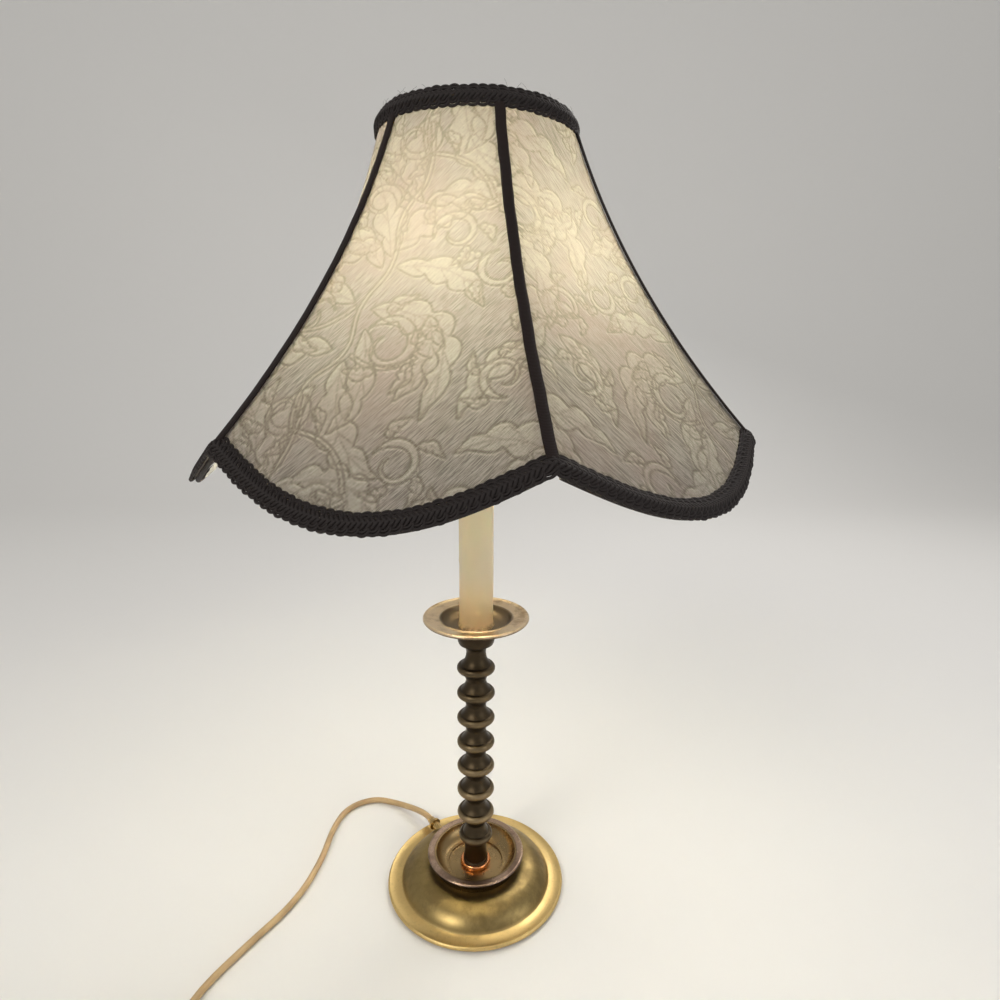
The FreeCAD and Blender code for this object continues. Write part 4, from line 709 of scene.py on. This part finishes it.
def sheet_point(panel, across, reach):
    """Surface of the shade's wires, in millimetres, for arrays of across (-1 to 1) and reach."""
    out, down = RIB_RADIUS - TOP_RADIUS, -SHADE_HEIGHT
    along = 2 * reach * (1 - reach) * RIB_LEAN + reach * reach
    bulge = 2 * reach * (1 - reach) * 2 * RIB_SAG / RIB_REACH
    radius = TOP_RADIUS + out * along + down * bulge
    height = RING_HEIGHT + down * along - out * bulge
    fade = np.maximum(0, 1 - reach / BOW_FADE) ** 1.3
    bow = PANEL_BOW + (1 - PANEL_BOW) * fade
    radius = radius * ((1 - bow) * math.cos(HALF_PANEL) / np.cos(HALF_PANEL * across) + bow)
    turn = SHADE_TURN + HALF_PANEL * (2 * panel - 1 + across)
    return np.stack([radius * np.sin(turn), -radius * np.cos(turn), height], axis=-1)


def sheet_frame(panel, across, reach):
    """Point, sideways and outward directions of the surface."""
    step = 1e-3
    sideways = unit(sheet_point(panel, across + step, reach) - sheet_point(panel, across - step, reach))
    downward = unit(sheet_point(panel, across, reach + step) - sheet_point(panel, across, reach - step))
    return sheet_point(panel, across, reach), sideways, unit(np.cross(sideways, downward)) * -1


def edge_reach(across):
    """Reach of the scalloped lower edge."""
    return 1 + SCALLOP_DROP / RIB_REACH * np.cos(math.pi / 2 * across)


def offset_point(panel, across, reach, out):
    """Point outside the surface; near the ribs it leans into the mitre of the next panel."""
    spot, sideways, outward = sheet_frame(panel, across, reach)
    turn = SHADE_TURN + HALF_PANEL * (2 * panel - 1 + np.sign(across))
    seam = np.stack([np.cos(turn), np.sin(turn), 0 * turn], axis=-1)
    slide = -np.sum(outward * seam, -1) / np.sum(sideways * seam, -1) * np.abs(across) ** 3
    return spot + (outward + sideways * slide[..., None]) * np.asarray(out)[..., None]


# -------------------- damask ornament

TILE_WIDE, TILE_HIGH = 150.0, 176.0
TILE_SIDES, TILE_BELOW, TILE_ABOVE = 80, 40, 205     # how far its shapes reach from its corner
SHAPE_MARGIN = 3                                     # lines are felt as far as this
LEAF_POINTS = 64
LEAVES = [   # spine's three points, half width, lobes
    ((2, 66), (-14, 30), (-40, 2), 13, 5), ((4, 62), (14, 24), (48, 22), 12, 5),
    ((0, 74), (-34, 44), (-64, 74), 11, 5), ((6, 100), (66, 84), (62, 152), 14, 6),
    ((-6, 98), (-70, 84), (-72, 150), 14, 6), ((-4, 128), (-52, 132), (-40, 184), 12, 5),
    ((6, 132), (20, 180), (58, 184), 12, 5), ((8, 72), (46, 58), (66, 84), 10, 4),
    ((-2, 150), (-14, 186), (8, 206), 10, 4), ((-46, 10), (-72, 24), (-70, 58), 9, 4),
    ((10, 30), (44, 2), (70, 30), 12, 6), ((-6, 60), (-30, 66), (-38, 92), 9, 4),
    ((8, 112), (34, 150), (20, 172), 9, 4), ((-30, 128), (-58, 118), (-66, 92), 10, 5),
    ((40, 96), (58, 118), (44, 146), 9, 5), ((-12, 16), (-34, -18), (-62, -6), 11, 5),
]
SCROLLS = [   # centre, outer radius, start in degrees, turning way, half width
    ((26, 118), 17, 205, 1, 3.4), ((-30, 112), 16, -25, -1, 3.2), ((34, 44), 13, 150, 1, 2.8),
    ((-18, 34), 12, 20, -1, 2.6), ((-10, 168), 14, 300, 1, 2.8), ((62, 176), 13, 190, 1, 2.6),
    ((-58, 30), 12, 60, 1, 2.4), ((66, 60), 12, 240, -1, 2.4), ((-54, 164), 11, 330, -1, 2.2),
]
STEMS = [
    [(0, 176), (-14, 154), (8, 128), (-4, 100), (8, 70), (-4, 40), (10, 12), (-4, -20)],
    [(0, 176), (30, 170), (46, 196)], [(8, 128), (30, 138), (44, 120)],
    [(-4, 100), (-24, 132), (-48, 118)],
]
STEM_HALF = 1.2
SCROLL_LEAF_PLACES = (5, 13, 21, 29)     # points of a scroll where its small leaves begin


def curve_through(points, count):
    """Smooth line of one quadratic arc, or of several joined at the middles of their runs."""
    points = np.array(points, float)
    if len(points) == 3:
        t = np.linspace(0, 1, count)[:, None]
        return (1 - t) ** 2 * points[0] + 2 * t * (1 - t) * points[1] + t * t * points[2]
    middles = (points[1:] + points[:-1]) / 2
    starts = np.concatenate([points[:1], middles[1:-1]])
    ends = np.concatenate([middles[1:-1], points[-1:]])
    pieces = [curve_through(p, 8) for p in zip(starts, points[1:-1], ends)]
    return np.concatenate(pieces)


def leaf_shape(start, bend, tip, half, lobes):
    """Closed outline of a lobed leaf, and its veins."""
    spine = curve_through([start, bend, tip], LEAF_POINTS)
    along = unit(np.gradient(spine, axis=0))
    side = np.stack([-along[:, 1], along[:, 0]], axis=1)
    t = np.linspace(0, 1, LEAF_POINTS)
    width = half * np.sin(np.pi * t ** 0.85) ** 0.75
    notch = 0.5 + 0.5 * np.abs(np.sin(np.pi * t * lobes)) ** 0.6
    curl = 0.42 + 0.58 * np.abs(np.sin(np.pi * (t * (lobes - 1) + 0.3))) ** 0.7
    left = spine + side * (width * notch)[:, None]
    right = spine - side * (width * 0.8 * curl)[:, None]
    veins = [spine]
    for k in range(1, lobes):
        i = int(LEAF_POINTS * (k - 0.5) / lobes)
        reach = min(LEAF_POINTS - 1, i + 9)
        veins.append(np.stack([spine[i], (spine[i] + left[reach]) / 2,
                               left[reach] * 0.8 + spine[reach] * 0.2]))
        veins.append(np.stack([spine[i], right[reach] * 0.75 + spine[reach] * 0.25]))
    return np.concatenate([left, right[::-1]]), veins


def band_shape(line, half):
    """Closed outline of a band along a line; half is half its width."""
    along = unit(np.gradient(line, axis=0))
    side = np.stack([-along[:, 1], along[:, 0]], axis=1)
    half = np.broadcast_to(half, len(line))[:, None]
    return np.concatenate([line + side * half, (line - side * half)[::-1]])


def scroll_shapes(centre, radius, start, way, half):
    """A curled band that tapers to its end, with small leaves on its outside."""
    t = np.linspace(0, 1, 44)
    angle = np.radians(start) + way * t * 2 * np.pi * 1.05
    arms = np.stack([np.cos(angle), np.sin(angle)], 1)
    spiral = np.array(centre) + (radius * (1 - 0.62 * t))[:, None] * arms
    outlines = [band_shape(spiral, half * np.clip(7 * t, 0.1, 1) * (1 - t) ** 0.6)]
    spines = []
    for k in SCROLL_LEAF_PLACES:
        out = unit(spiral[k] - centre)
        ahead = unit(spiral[k + 1] - spiral[k])
        root = spiral[k] + out * half
        bend = root + out * radius * 0.5 - ahead * 2
        tip = root + (out * 0.75 + ahead * 0.9) * radius
        outline, lines = leaf_shape(root, bend, tip, radius * 0.3, 3)
        outlines.append(outline)
        spines.append(lines[0])
    return outlines, spines


def ornament_tile():
    """Outlines and veins of one repeat of the ornament."""
    outlines, veins = [], []
    for leaf in LEAVES:
        outline, lines = leaf_shape(*leaf)
        outlines.append(outline)
        veins += lines
    for scroll in SCROLLS:
        shapes, lines = scroll_shapes(*scroll)
        outlines += shapes
        veins += lines
    outlines += [band_shape(curve_through(stem, 24), STEM_HALF) for stem in STEMS]
    return outlines, veins


def line_distance(points, line, closed):
    """Least distance from each point to a line of points."""
    ends = np.roll(line, -1, axis=0) if closed else line[1:]
    best = np.full(len(points), 1e9)
    for start, end in zip(line, ends):
        run = end - start
        share = np.clip(((points - start) @ run) / max(run @ run, 1e-9), 0, 1)
        best = np.minimum(best, np.linalg.norm(points - start - share[:, None] * run, axis=1))
    return best


def is_inside(points, outline):
    """Whether each point is inside a closed outline."""
    inside = np.zeros(len(points), bool)
    for start, end in zip(outline, np.roll(outline, -1, axis=0)):
        crosses = (start[1] > points[:, 1]) != (end[1] > points[:, 1])
        rise = end[1] - start[1] if abs(end[1] - start[1]) > 1e-9 else 1e-9
        border = (end[0] - start[0]) * (points[:, 1] - start[1]) / rise + start[0]
        inside ^= crosses & (points[:, 0] < border)
    return inside


def points_near(points, shape):
    return np.all((points > shape.min(axis=0) - SHAPE_MARGIN)
                  & (points < shape.max(axis=0) + SHAPE_MARGIN), axis=1)


def ornament(points):
    """Leaf, dark line, and a painted highlight line beside the outlines, at each point of the cloth, in
    millimetres of the fabric.
    """
    leaf = np.zeros(len(points))
    edge, vein, painted_highlight_gap = np.full((3, len(points)), 9.0)     # distances, at first out of reach
    outlines, veins = ornament_tile()
    low, high = points.min(axis=0), points.max(axis=0)
    for column in range(-3, 4):
        for row in range(-3, 4):
            shift = np.array((column * TILE_WIDE, (row + 0.5 * (column % 2)) * TILE_HIGH))
            if (np.any(shift + (TILE_SIDES, TILE_ABOVE) < low)
                    or np.any(shift - (TILE_SIDES, TILE_BELOW) > high)):
                continue
            for outline in outlines:
                moved = outline + shift
                box = points_near(points, moved)
                if not box.any():
                    continue
                spots = points[box]
                inside = is_inside(spots, moved)
                distance = line_distance(spots, moved, True)
                leaf[box] = np.maximum(leaf[box], np.where(inside, np.clip(distance / 0.8, 0, 1), 0))
                edge[box] = np.minimum(edge[box], distance)
                painted_highlight_gap[box] = np.minimum(painted_highlight_gap[box], line_distance(spots, moved + (0.9, 1.1), True))
            for line in veins:
                moved = line + shift
                box = points_near(points, moved)
                if box.any():
                    vein[box] = np.minimum(vein[box], line_distance(points[box], moved, False))
    dark = np.maximum(np.clip(1.5 - edge / 0.75, 0, 1), 0.6 * np.clip(1.4 - vein / 0.6, 0, 1))
    # Pale line at the outlines shifted a little to one side: a painted highlight, as on an embossed
    # edge.
    bright = np.clip(1.2 - painted_highlight_gap / 0.5, 0, 1) * (1 - dark)
    return np.stack([leaf, dark, bright], axis=1)


# -------------------- cloth, lining, strips

FABRIC_TURN = [-14, 16, -10, 12, -16, 9]      # how each panel was cut from the fabric, in degrees
CLOTH_ROWS, CLOTH_COLUMNS = ((300, 210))
FABRIC_SHIFT = [(4, -38), (-36, 40), (28, -70), (60, 15), (-50, -20), (12, 66)]
SLUB_TURN = [52, -58, 50, -55, 54, -60]


def panel_grid(rows, columns, high, low=-1.5):
    """Across and reach of a grid that starts low past the ring and ends high past the scallops."""
    across = np.linspace(-1, 1, columns)[None, :] * np.ones((rows, 1))
    share = np.linspace(0, 1, rows)[:, None]
    reach = low / RIB_REACH + share * (edge_reach(across) + (high - low) / RIB_REACH)
    return across, reach


def rotated(points, degrees):
    """Flat points turned about the origin."""
    c, s = math.cos(math.radians(degrees)), math.sin(math.radians(degrees))
    return points @ np.array([[c, s], [-s, c]])


def cloth_panel(panel):
    """Stretched cloth of one panel; its threads and ornament run as the fabric was cut."""
    across, reach = panel_grid(CLOTH_ROWS, CLOTH_COLUMNS, high=0.5)
    ripple = 0.22 * np.sin(across * 23 + 5 * reach) * np.exp(-((1 - np.abs(across)) * 9) ** 2 / 6)
    points = offset_point(panel, across, reach, CLOTH_OUT - 0.1 + ripple * 0.5)
    half = np.linalg.norm(points[:, -1] - points[:, 0], axis=1)[:, None] / 2
    flat = np.stack([across * half, reach * RIB_REACH], axis=-1).reshape(-1, 2)
    mirror = np.array((-1 if panel % 2 else 1, 1))
    fabric = rotated(flat * mirror + np.array(FABRIC_SHIFT[panel]), FABRIC_TURN[panel])
    thread = rotated(flat, SLUB_TURN[panel]) * MM
    thread = np.column_stack([thread, np.full(len(thread), panel * 0.37)])
    world = AXIS + points.reshape(-1, 3) * MM
    cloth = new_piece(f"damask_panel_{panel + 1}", world, grid_faces(CLOTH_ROWS, CLOTH_COLUMNS), CLOTH,
                      attributes={"thread": thread, "pattern": ornament(fabric)})
    return dress(cloth, "shade", "damask", f"cloth_panel_{panel + 1}")


def build_lining():
    """Thin pleated lining inside the wires, all panels in one piece."""
    points, faces = [], []
    rows, columns = 70, 40
    for panel in range(PANELS):
        across, reach = panel_grid(rows, columns, high=-3.2)
        pleat = 0.12 * np.sin(across * 70)
        faces.append(grid_faces(rows, columns, offset=len(points) * rows * columns))
        points.append(offset_point(panel, across, reach, LINING_OUT - 0.2 + pleat).reshape(-1, 3))
    piece = new_piece("shade_lining", AXIS + np.concatenate(points) * MM, np.concatenate(faces), LINING)
    return dress(piece, "shade", "lining", "lining")


STRIP_START, STRIP_END = 7, 5            # distances of the tape's ends from the rib's ends
STRIP_PROFILE = [                        # across the tape and over it
    (-2.9, -0.75), (-2.95, 0.0), (-2.5, 0.55), (-1.2, 0.8), (0, 0.9), (1.2, 0.8), (2.5, 0.55),
    (2.95, 0.0), (2.9, -0.75),
]


def build_strips():
    """Folded tape over each rib, slightly rounded, with a stitched look from its weave."""
    points, faces, threads = [], [], []
    rows, profile = 90, STRIP_PROFILE
    for panel in range(PANELS):
        reach = np.linspace(STRIP_START / RIB_REACH, 1 - STRIP_END / RIB_REACH, rows)
        spot, _, _ = sheet_frame(panel, np.full(rows, -1.0), reach)
        turn = SHADE_TURN + HALF_PANEL * (2 * panel - 2)
        sideways = np.array((math.cos(turn), math.sin(turn), 0))
        along = unit(np.gradient(spot, axis=0))
        outward = unit(np.cross(sideways, along)) * -1
        wobble = 0.12 * np.sin(reach * 31 + panel) + 0.08 * np.sin(reach * 83 + 2 * panel)
        faces.append(grid_faces(rows, len(profile), offset=len(points) * rows * len(profile)))
        strip = np.stack([spot + sideways * (x + wobble)[:, None] + outward * (STRIP_OUT + z)
                          for x, z in profile], axis=1)
        points.append(strip.reshape(-1, 3))
        run = np.repeat(reach * RIB_REACH, len(profile)) * MM
        wide = np.tile([x * MM for x, _ in profile], rows)
        threads.append(np.column_stack([wide, run, np.full(len(run), panel)]))
    piece = new_piece("rib_strips", AXIS + np.concatenate(points) * MM, np.concatenate(faces), TAPE,
                      attributes={"thread": np.concatenate(threads)})
    return dress(piece, "shade", "braid", "seam_strips")


# -------------------- gimp braid

LOOP_PITCH = 5.0
YARN_RADIUS = 0.86
BRAID_LOW, BRAID_HIGH = -3.3, 8.9        # rows of loops, from past the edge to inward of it
LOOPS = ((1.0, 0.0, 1.0), (0.55, 0.5, 0.85))     # share of the size, lift, share of the yarn
PLAIT_STRANDS, PLAIT_WAVE, PLAIT_RADIUS = 5, 2.6 * LOOP_PITCH, 1.05
LOOSE_THREADS, LOOSE_RADIUS = 34, 0.055


class Edge:
    """An edge of the shade that a braid follows: the place and directions at each distance along it."""

    def __init__(self, spots, inward, outward):
        self.spots, self.inward, self.outward = spots, inward, outward
        runs = np.linalg.norm(np.roll(spots, -1, axis=0) - spots, axis=1)
        self.along = np.concatenate([[0], np.cumsum(runs)])
        self.length = self.along[-1]

    def _value(self, table, distance):
        """Rows of a table at distances along the edge."""
        table = np.concatenate([table, table[:1]])
        distance = np.mod(distance, self.length)
        return np.stack([np.interp(distance, self.along, table[:, k]) for k in range(3)], axis=1)

    def strand(self, yarns, distance, inward, outward, radius, sides=6, flat=1.0):
        """Adds a strand by its distance along the edge, and its inward and outward distance from it."""
        up = unit(self._value(self.outward, distance))
        line = (self._value(self.spots, distance) + self._value(self.inward, distance) * inward[:, None]
                + up * outward[:, None])
        yarns.add(AXIS + line * MM, up, radius * MM, sides, flat)


def edge_of(reach_of, rise):
    """The closed edge round all panels at a reach; rise is 1 where inward is up, and -1 where down."""
    spots, ups = [], []
    for panel in range(PANELS):
        across = np.linspace(-1, 1, 160, endpoint=False)
        reach = reach_of(across)
        spots.append(offset_point(panel, across, reach, 0 * across))
        ups.append(sheet_frame(panel, across, reach)[2])
    spots, ups = np.concatenate(spots), np.concatenate(ups)
    for _ in range(10):
        ups = unit(np.roll(ups, 1, axis=0) + 2 * ups + np.roll(ups, -1, axis=0))
    along = unit(np.roll(spots, -1, axis=0) - np.roll(spots, 1, axis=0))
    inward = unit(np.cross(ups, along))
    for _ in range(14):
        inward = unit(np.roll(inward, 1, axis=0) + 2 * inward + np.roll(inward, -1, axis=0))
    return Edge(spots, inward if inward[0][2] * rise > 0 else -inward, ups)


def add_loops(yarns, edge, core):
    """Two rows of loops, one on each side of a core."""
    middle = (BRAID_LOW + BRAID_HIGH) / 2
    count = round(edge.length / LOOP_PITCH)
    pitch = edge.length / count
    loop = (BRAID_HIGH - BRAID_LOW - core) / 2
    t = np.linspace(0, count, count * 18 + 1)
    uneven = 0.12 * np.sin(t * 2.7) + 0.10 * np.sin(t * 1.13 + 1)
    swing = 0.5 - 0.5 * np.cos(2 * np.pi * t)
    for way, start in ((1, middle + core / 2 - 0.5), (-1, middle - core / 2 + 0.5)):
        for size, lift, thickness in LOOPS:
            distance = (t - 0.33 * size * np.sin(2 * np.pi * t)) * pitch
            inward = start + way * (loop * size * swing * (1 + 0.5 * uneven))
            outward = BRAID_OUT + lift + 0.45 * np.cos(2 * np.pi * t + 0.6) + 0.15 * uneven
            edge.strand(yarns, distance, inward, outward, YARN_RADIUS * thickness)


def add_plait(yarns, edge, core):
    """Strands that cross each other over the width of the core."""
    middle = (BRAID_LOW + BRAID_HIGH) / 2
    repeats = round(edge.length / PLAIT_WAVE)
    t = np.linspace(0, repeats, repeats * 20 + 1)
    for k in range(PLAIT_STRANDS):
        phase = 2 * np.pi * (t + k / PLAIT_STRANDS)
        inward = middle + core / 2 * np.arcsin(0.96 * np.sin(phase)) / 1.3
        outward = BRAID_OUT + 0.7 + 0.75 * np.cos(2 * phase + 0.5)
        edge.strand(yarns, t * edge.length / repeats, inward, outward, PLAIT_RADIUS, 6, 0.8)


def add_loose_threads(yarns, edge):
    """Frayed threads that stand up from the edge."""
    generator = np.random.default_rng(7)
    steps = np.linspace(0, 1, 9)
    for _ in range(LOOSE_THREADS):
        begin = generator.uniform(0, edge.length)
        lean = generator.uniform(-5, 5)
        tall = generator.uniform(1.5, 5.0)
        curl = generator.uniform(-2, 2)
        edge.strand(yarns, begin + lean * steps + curl * steps ** 2, -2.5 - tall * steps ** 0.8,
                    BRAID_OUT + 0.6 * np.sin(steps * 3 + curl), LOOSE_RADIUS, 4)


def build_trim(name, node, edge, core, frayed):
    """Gimp braid along an edge: a plait of width core between two rows of loops."""
    yarns = Yarns()
    add_loops(yarns, edge, core)
    add_plait(yarns, edge, core)
    if frayed:
        add_loose_threads(yarns, edge)
    return dress(yarns.piece(name, YARN), "shade", "braid", node)


strips = build_strips()
lining = build_lining()
edge_gimp = build_trim("edge_gimp", "edge_trim", edge_of(edge_reach, 1), 5.6, False)
top_gimp = build_trim("top_gimp", "top_trim", edge_of(lambda across: 0 * across, -1), 5.0, True)
for panel in range(PANELS):
    cloth_panel(panel)


# -------------------- candle sleeve

SLEEVE_RADIUS, SLEEVE_BORE = 12.42, 11.3
SLEEVE_COLUMNS, SLEEVE_ROWS = 120, 90
DRIPS = ((0.4, 0.10, 38), (1.9, 0.13, 62), (3.3, 0.09, 51), (4.1, 0.12, 26), (5.6, 0.11, 70))
# each drip: place and width in radians, height of its end


def build_candle():
    """Waxy sleeve: uneven skin, drips down its side and a spread foot."""
    share = np.linspace(0, 1, SLEEVE_ROWS)[:, None] ** 1.7
    turn = np.linspace(0, 2 * np.pi, SLEEVE_COLUMNS, endpoint=False)[None, :]
    height = (CANDLE_HIGH - CANDLE_LOW) / MM
    z = share * height
    radius = SLEEVE_RADIUS + 0.10 * np.sin(3 * turn + 0.05 * z) + 0.05 * np.sin(7 * turn - 0.11 * z)
    spread = 0.75 + 0.22 * np.sin(4 * turn + 1) + 0.15 * np.sin(9 * turn)
    radius = radius + spread * np.exp(-((z / (2.3 + 0.7 * np.sin(5 * turn))) ** 2))
    for place, width, end in DRIPS:
        gap = np.angle(np.exp(1j * (turn - place - 0.0015 * z)))
        run = 1 / (1 + np.exp(-(z - end) / 1.5))
        bead = np.exp(-((z - end) / 2.6) ** 2)
        radius = radius + np.exp(-(gap / width) ** 2) * (0.32 * run + 0.35 * bead)
    skin = np.stack([radius * np.cos(turn), radius * np.sin(turn), z + 0 * turn], axis=-1)
    bore = [SLEEVE_BORE * np.cos(turn), SLEEVE_BORE * np.sin(turn)]
    sole = np.stack([*bore, 0 * turn], axis=-1)
    mouth = np.stack([*bore, 0 * turn + height], axis=-1)
    grid = np.concatenate([sole, skin, mouth, sole])
    world = AXIS + (0, 0, CANDLE_LOW) + grid.reshape(-1, 3) * MM
    piece = new_piece("wax_sleeve", world, grid_faces(len(grid), SLEEVE_COLUMNS, True), WAX)
    return dress(piece, "stand", "ivory", "candle_sleeve")


build_candle()


# -------------------- studio

FLOOR_FRONT, FLOOR_BACK, FLOOR_SIDE = -2.2, 1.3, 3.5
SWEEP, BACKDROP_TOP = 0.9, 3.2
LIGHTS_AIM = (0, 0, 260)


def studio_paper():
    """Pale matt paper."""
    s = Shader("studio_paper")
    grains = s.noise(s.add("ShaderNodeTexCoord", out=3), 40, 3)
    return s.finish(s.principled(Base_Color=(0.80, 0.79, 0.77), Roughness=0.6,
                                 Normal=s.bump(grains, 0.0005, 0.05)))


def build_floor():
    """Pale floor that curves up into a backdrop."""
    floor = FLOOR - 0.0002
    profile = [(FLOOR_FRONT, floor), (FLOOR_BACK, floor)]
    for angle in np.linspace(0.1, math.pi / 2, 14):
        profile.append((FLOOR_BACK + SWEEP * math.sin(angle), floor + SWEEP - SWEEP * math.cos(angle)))
    profile.append((FLOOR_BACK + SWEEP, BACKDROP_TOP))
    points = [(x, y, z) for y, z in profile for x in (-FLOOR_SIDE, FLOOR_SIDE)]
    new_piece("studio_floor", points, grid_faces(len(profile), 2), studio_paper())


def soft_light(name, spot, size, power, tone):
    """Round area lamp that is aimed at the lamp's column; spot is in metres from its foot."""
    lamp = bpy.data.lights.new(name, "AREA")
    lamp.shape = "DISK"
    lamp.size = size
    lamp.energy = power
    lamp.color = tone
    holder = add_object(name, lamp)
    holder.location = at(*(c / MM for c in spot))
    aim = Vector(at(*LIGHTS_AIM)) - holder.location
    holder.rotation_euler = aim.to_track_quat("-Z", "Y").to_euler()


build_floor()
soft_light("key", (-1.3, -1.5, 1.7), 1.1, 19, (1.0, 0.97, 0.93))
soft_light("fill", (1.6, -1.0, 1.0), 1.3, 6.5, (0.95, 0.97, 1.0))
soft_light("rim", (0.7, 1.1, 1.5), 0.8, 9.5, (1.0, 0.97, 0.94))

world = bpy.data.worlds.new("studio_world")
bpy.context.scene.world = world
world.use_nodes = True
background = world.node_tree.nodes["Background"]
background.inputs[0].default_value = (1.0, 0.99, 0.97, 1)
background.inputs[1].default_value = 0.45
bpy.context.scene.view_settings.view_transform = "Standard"
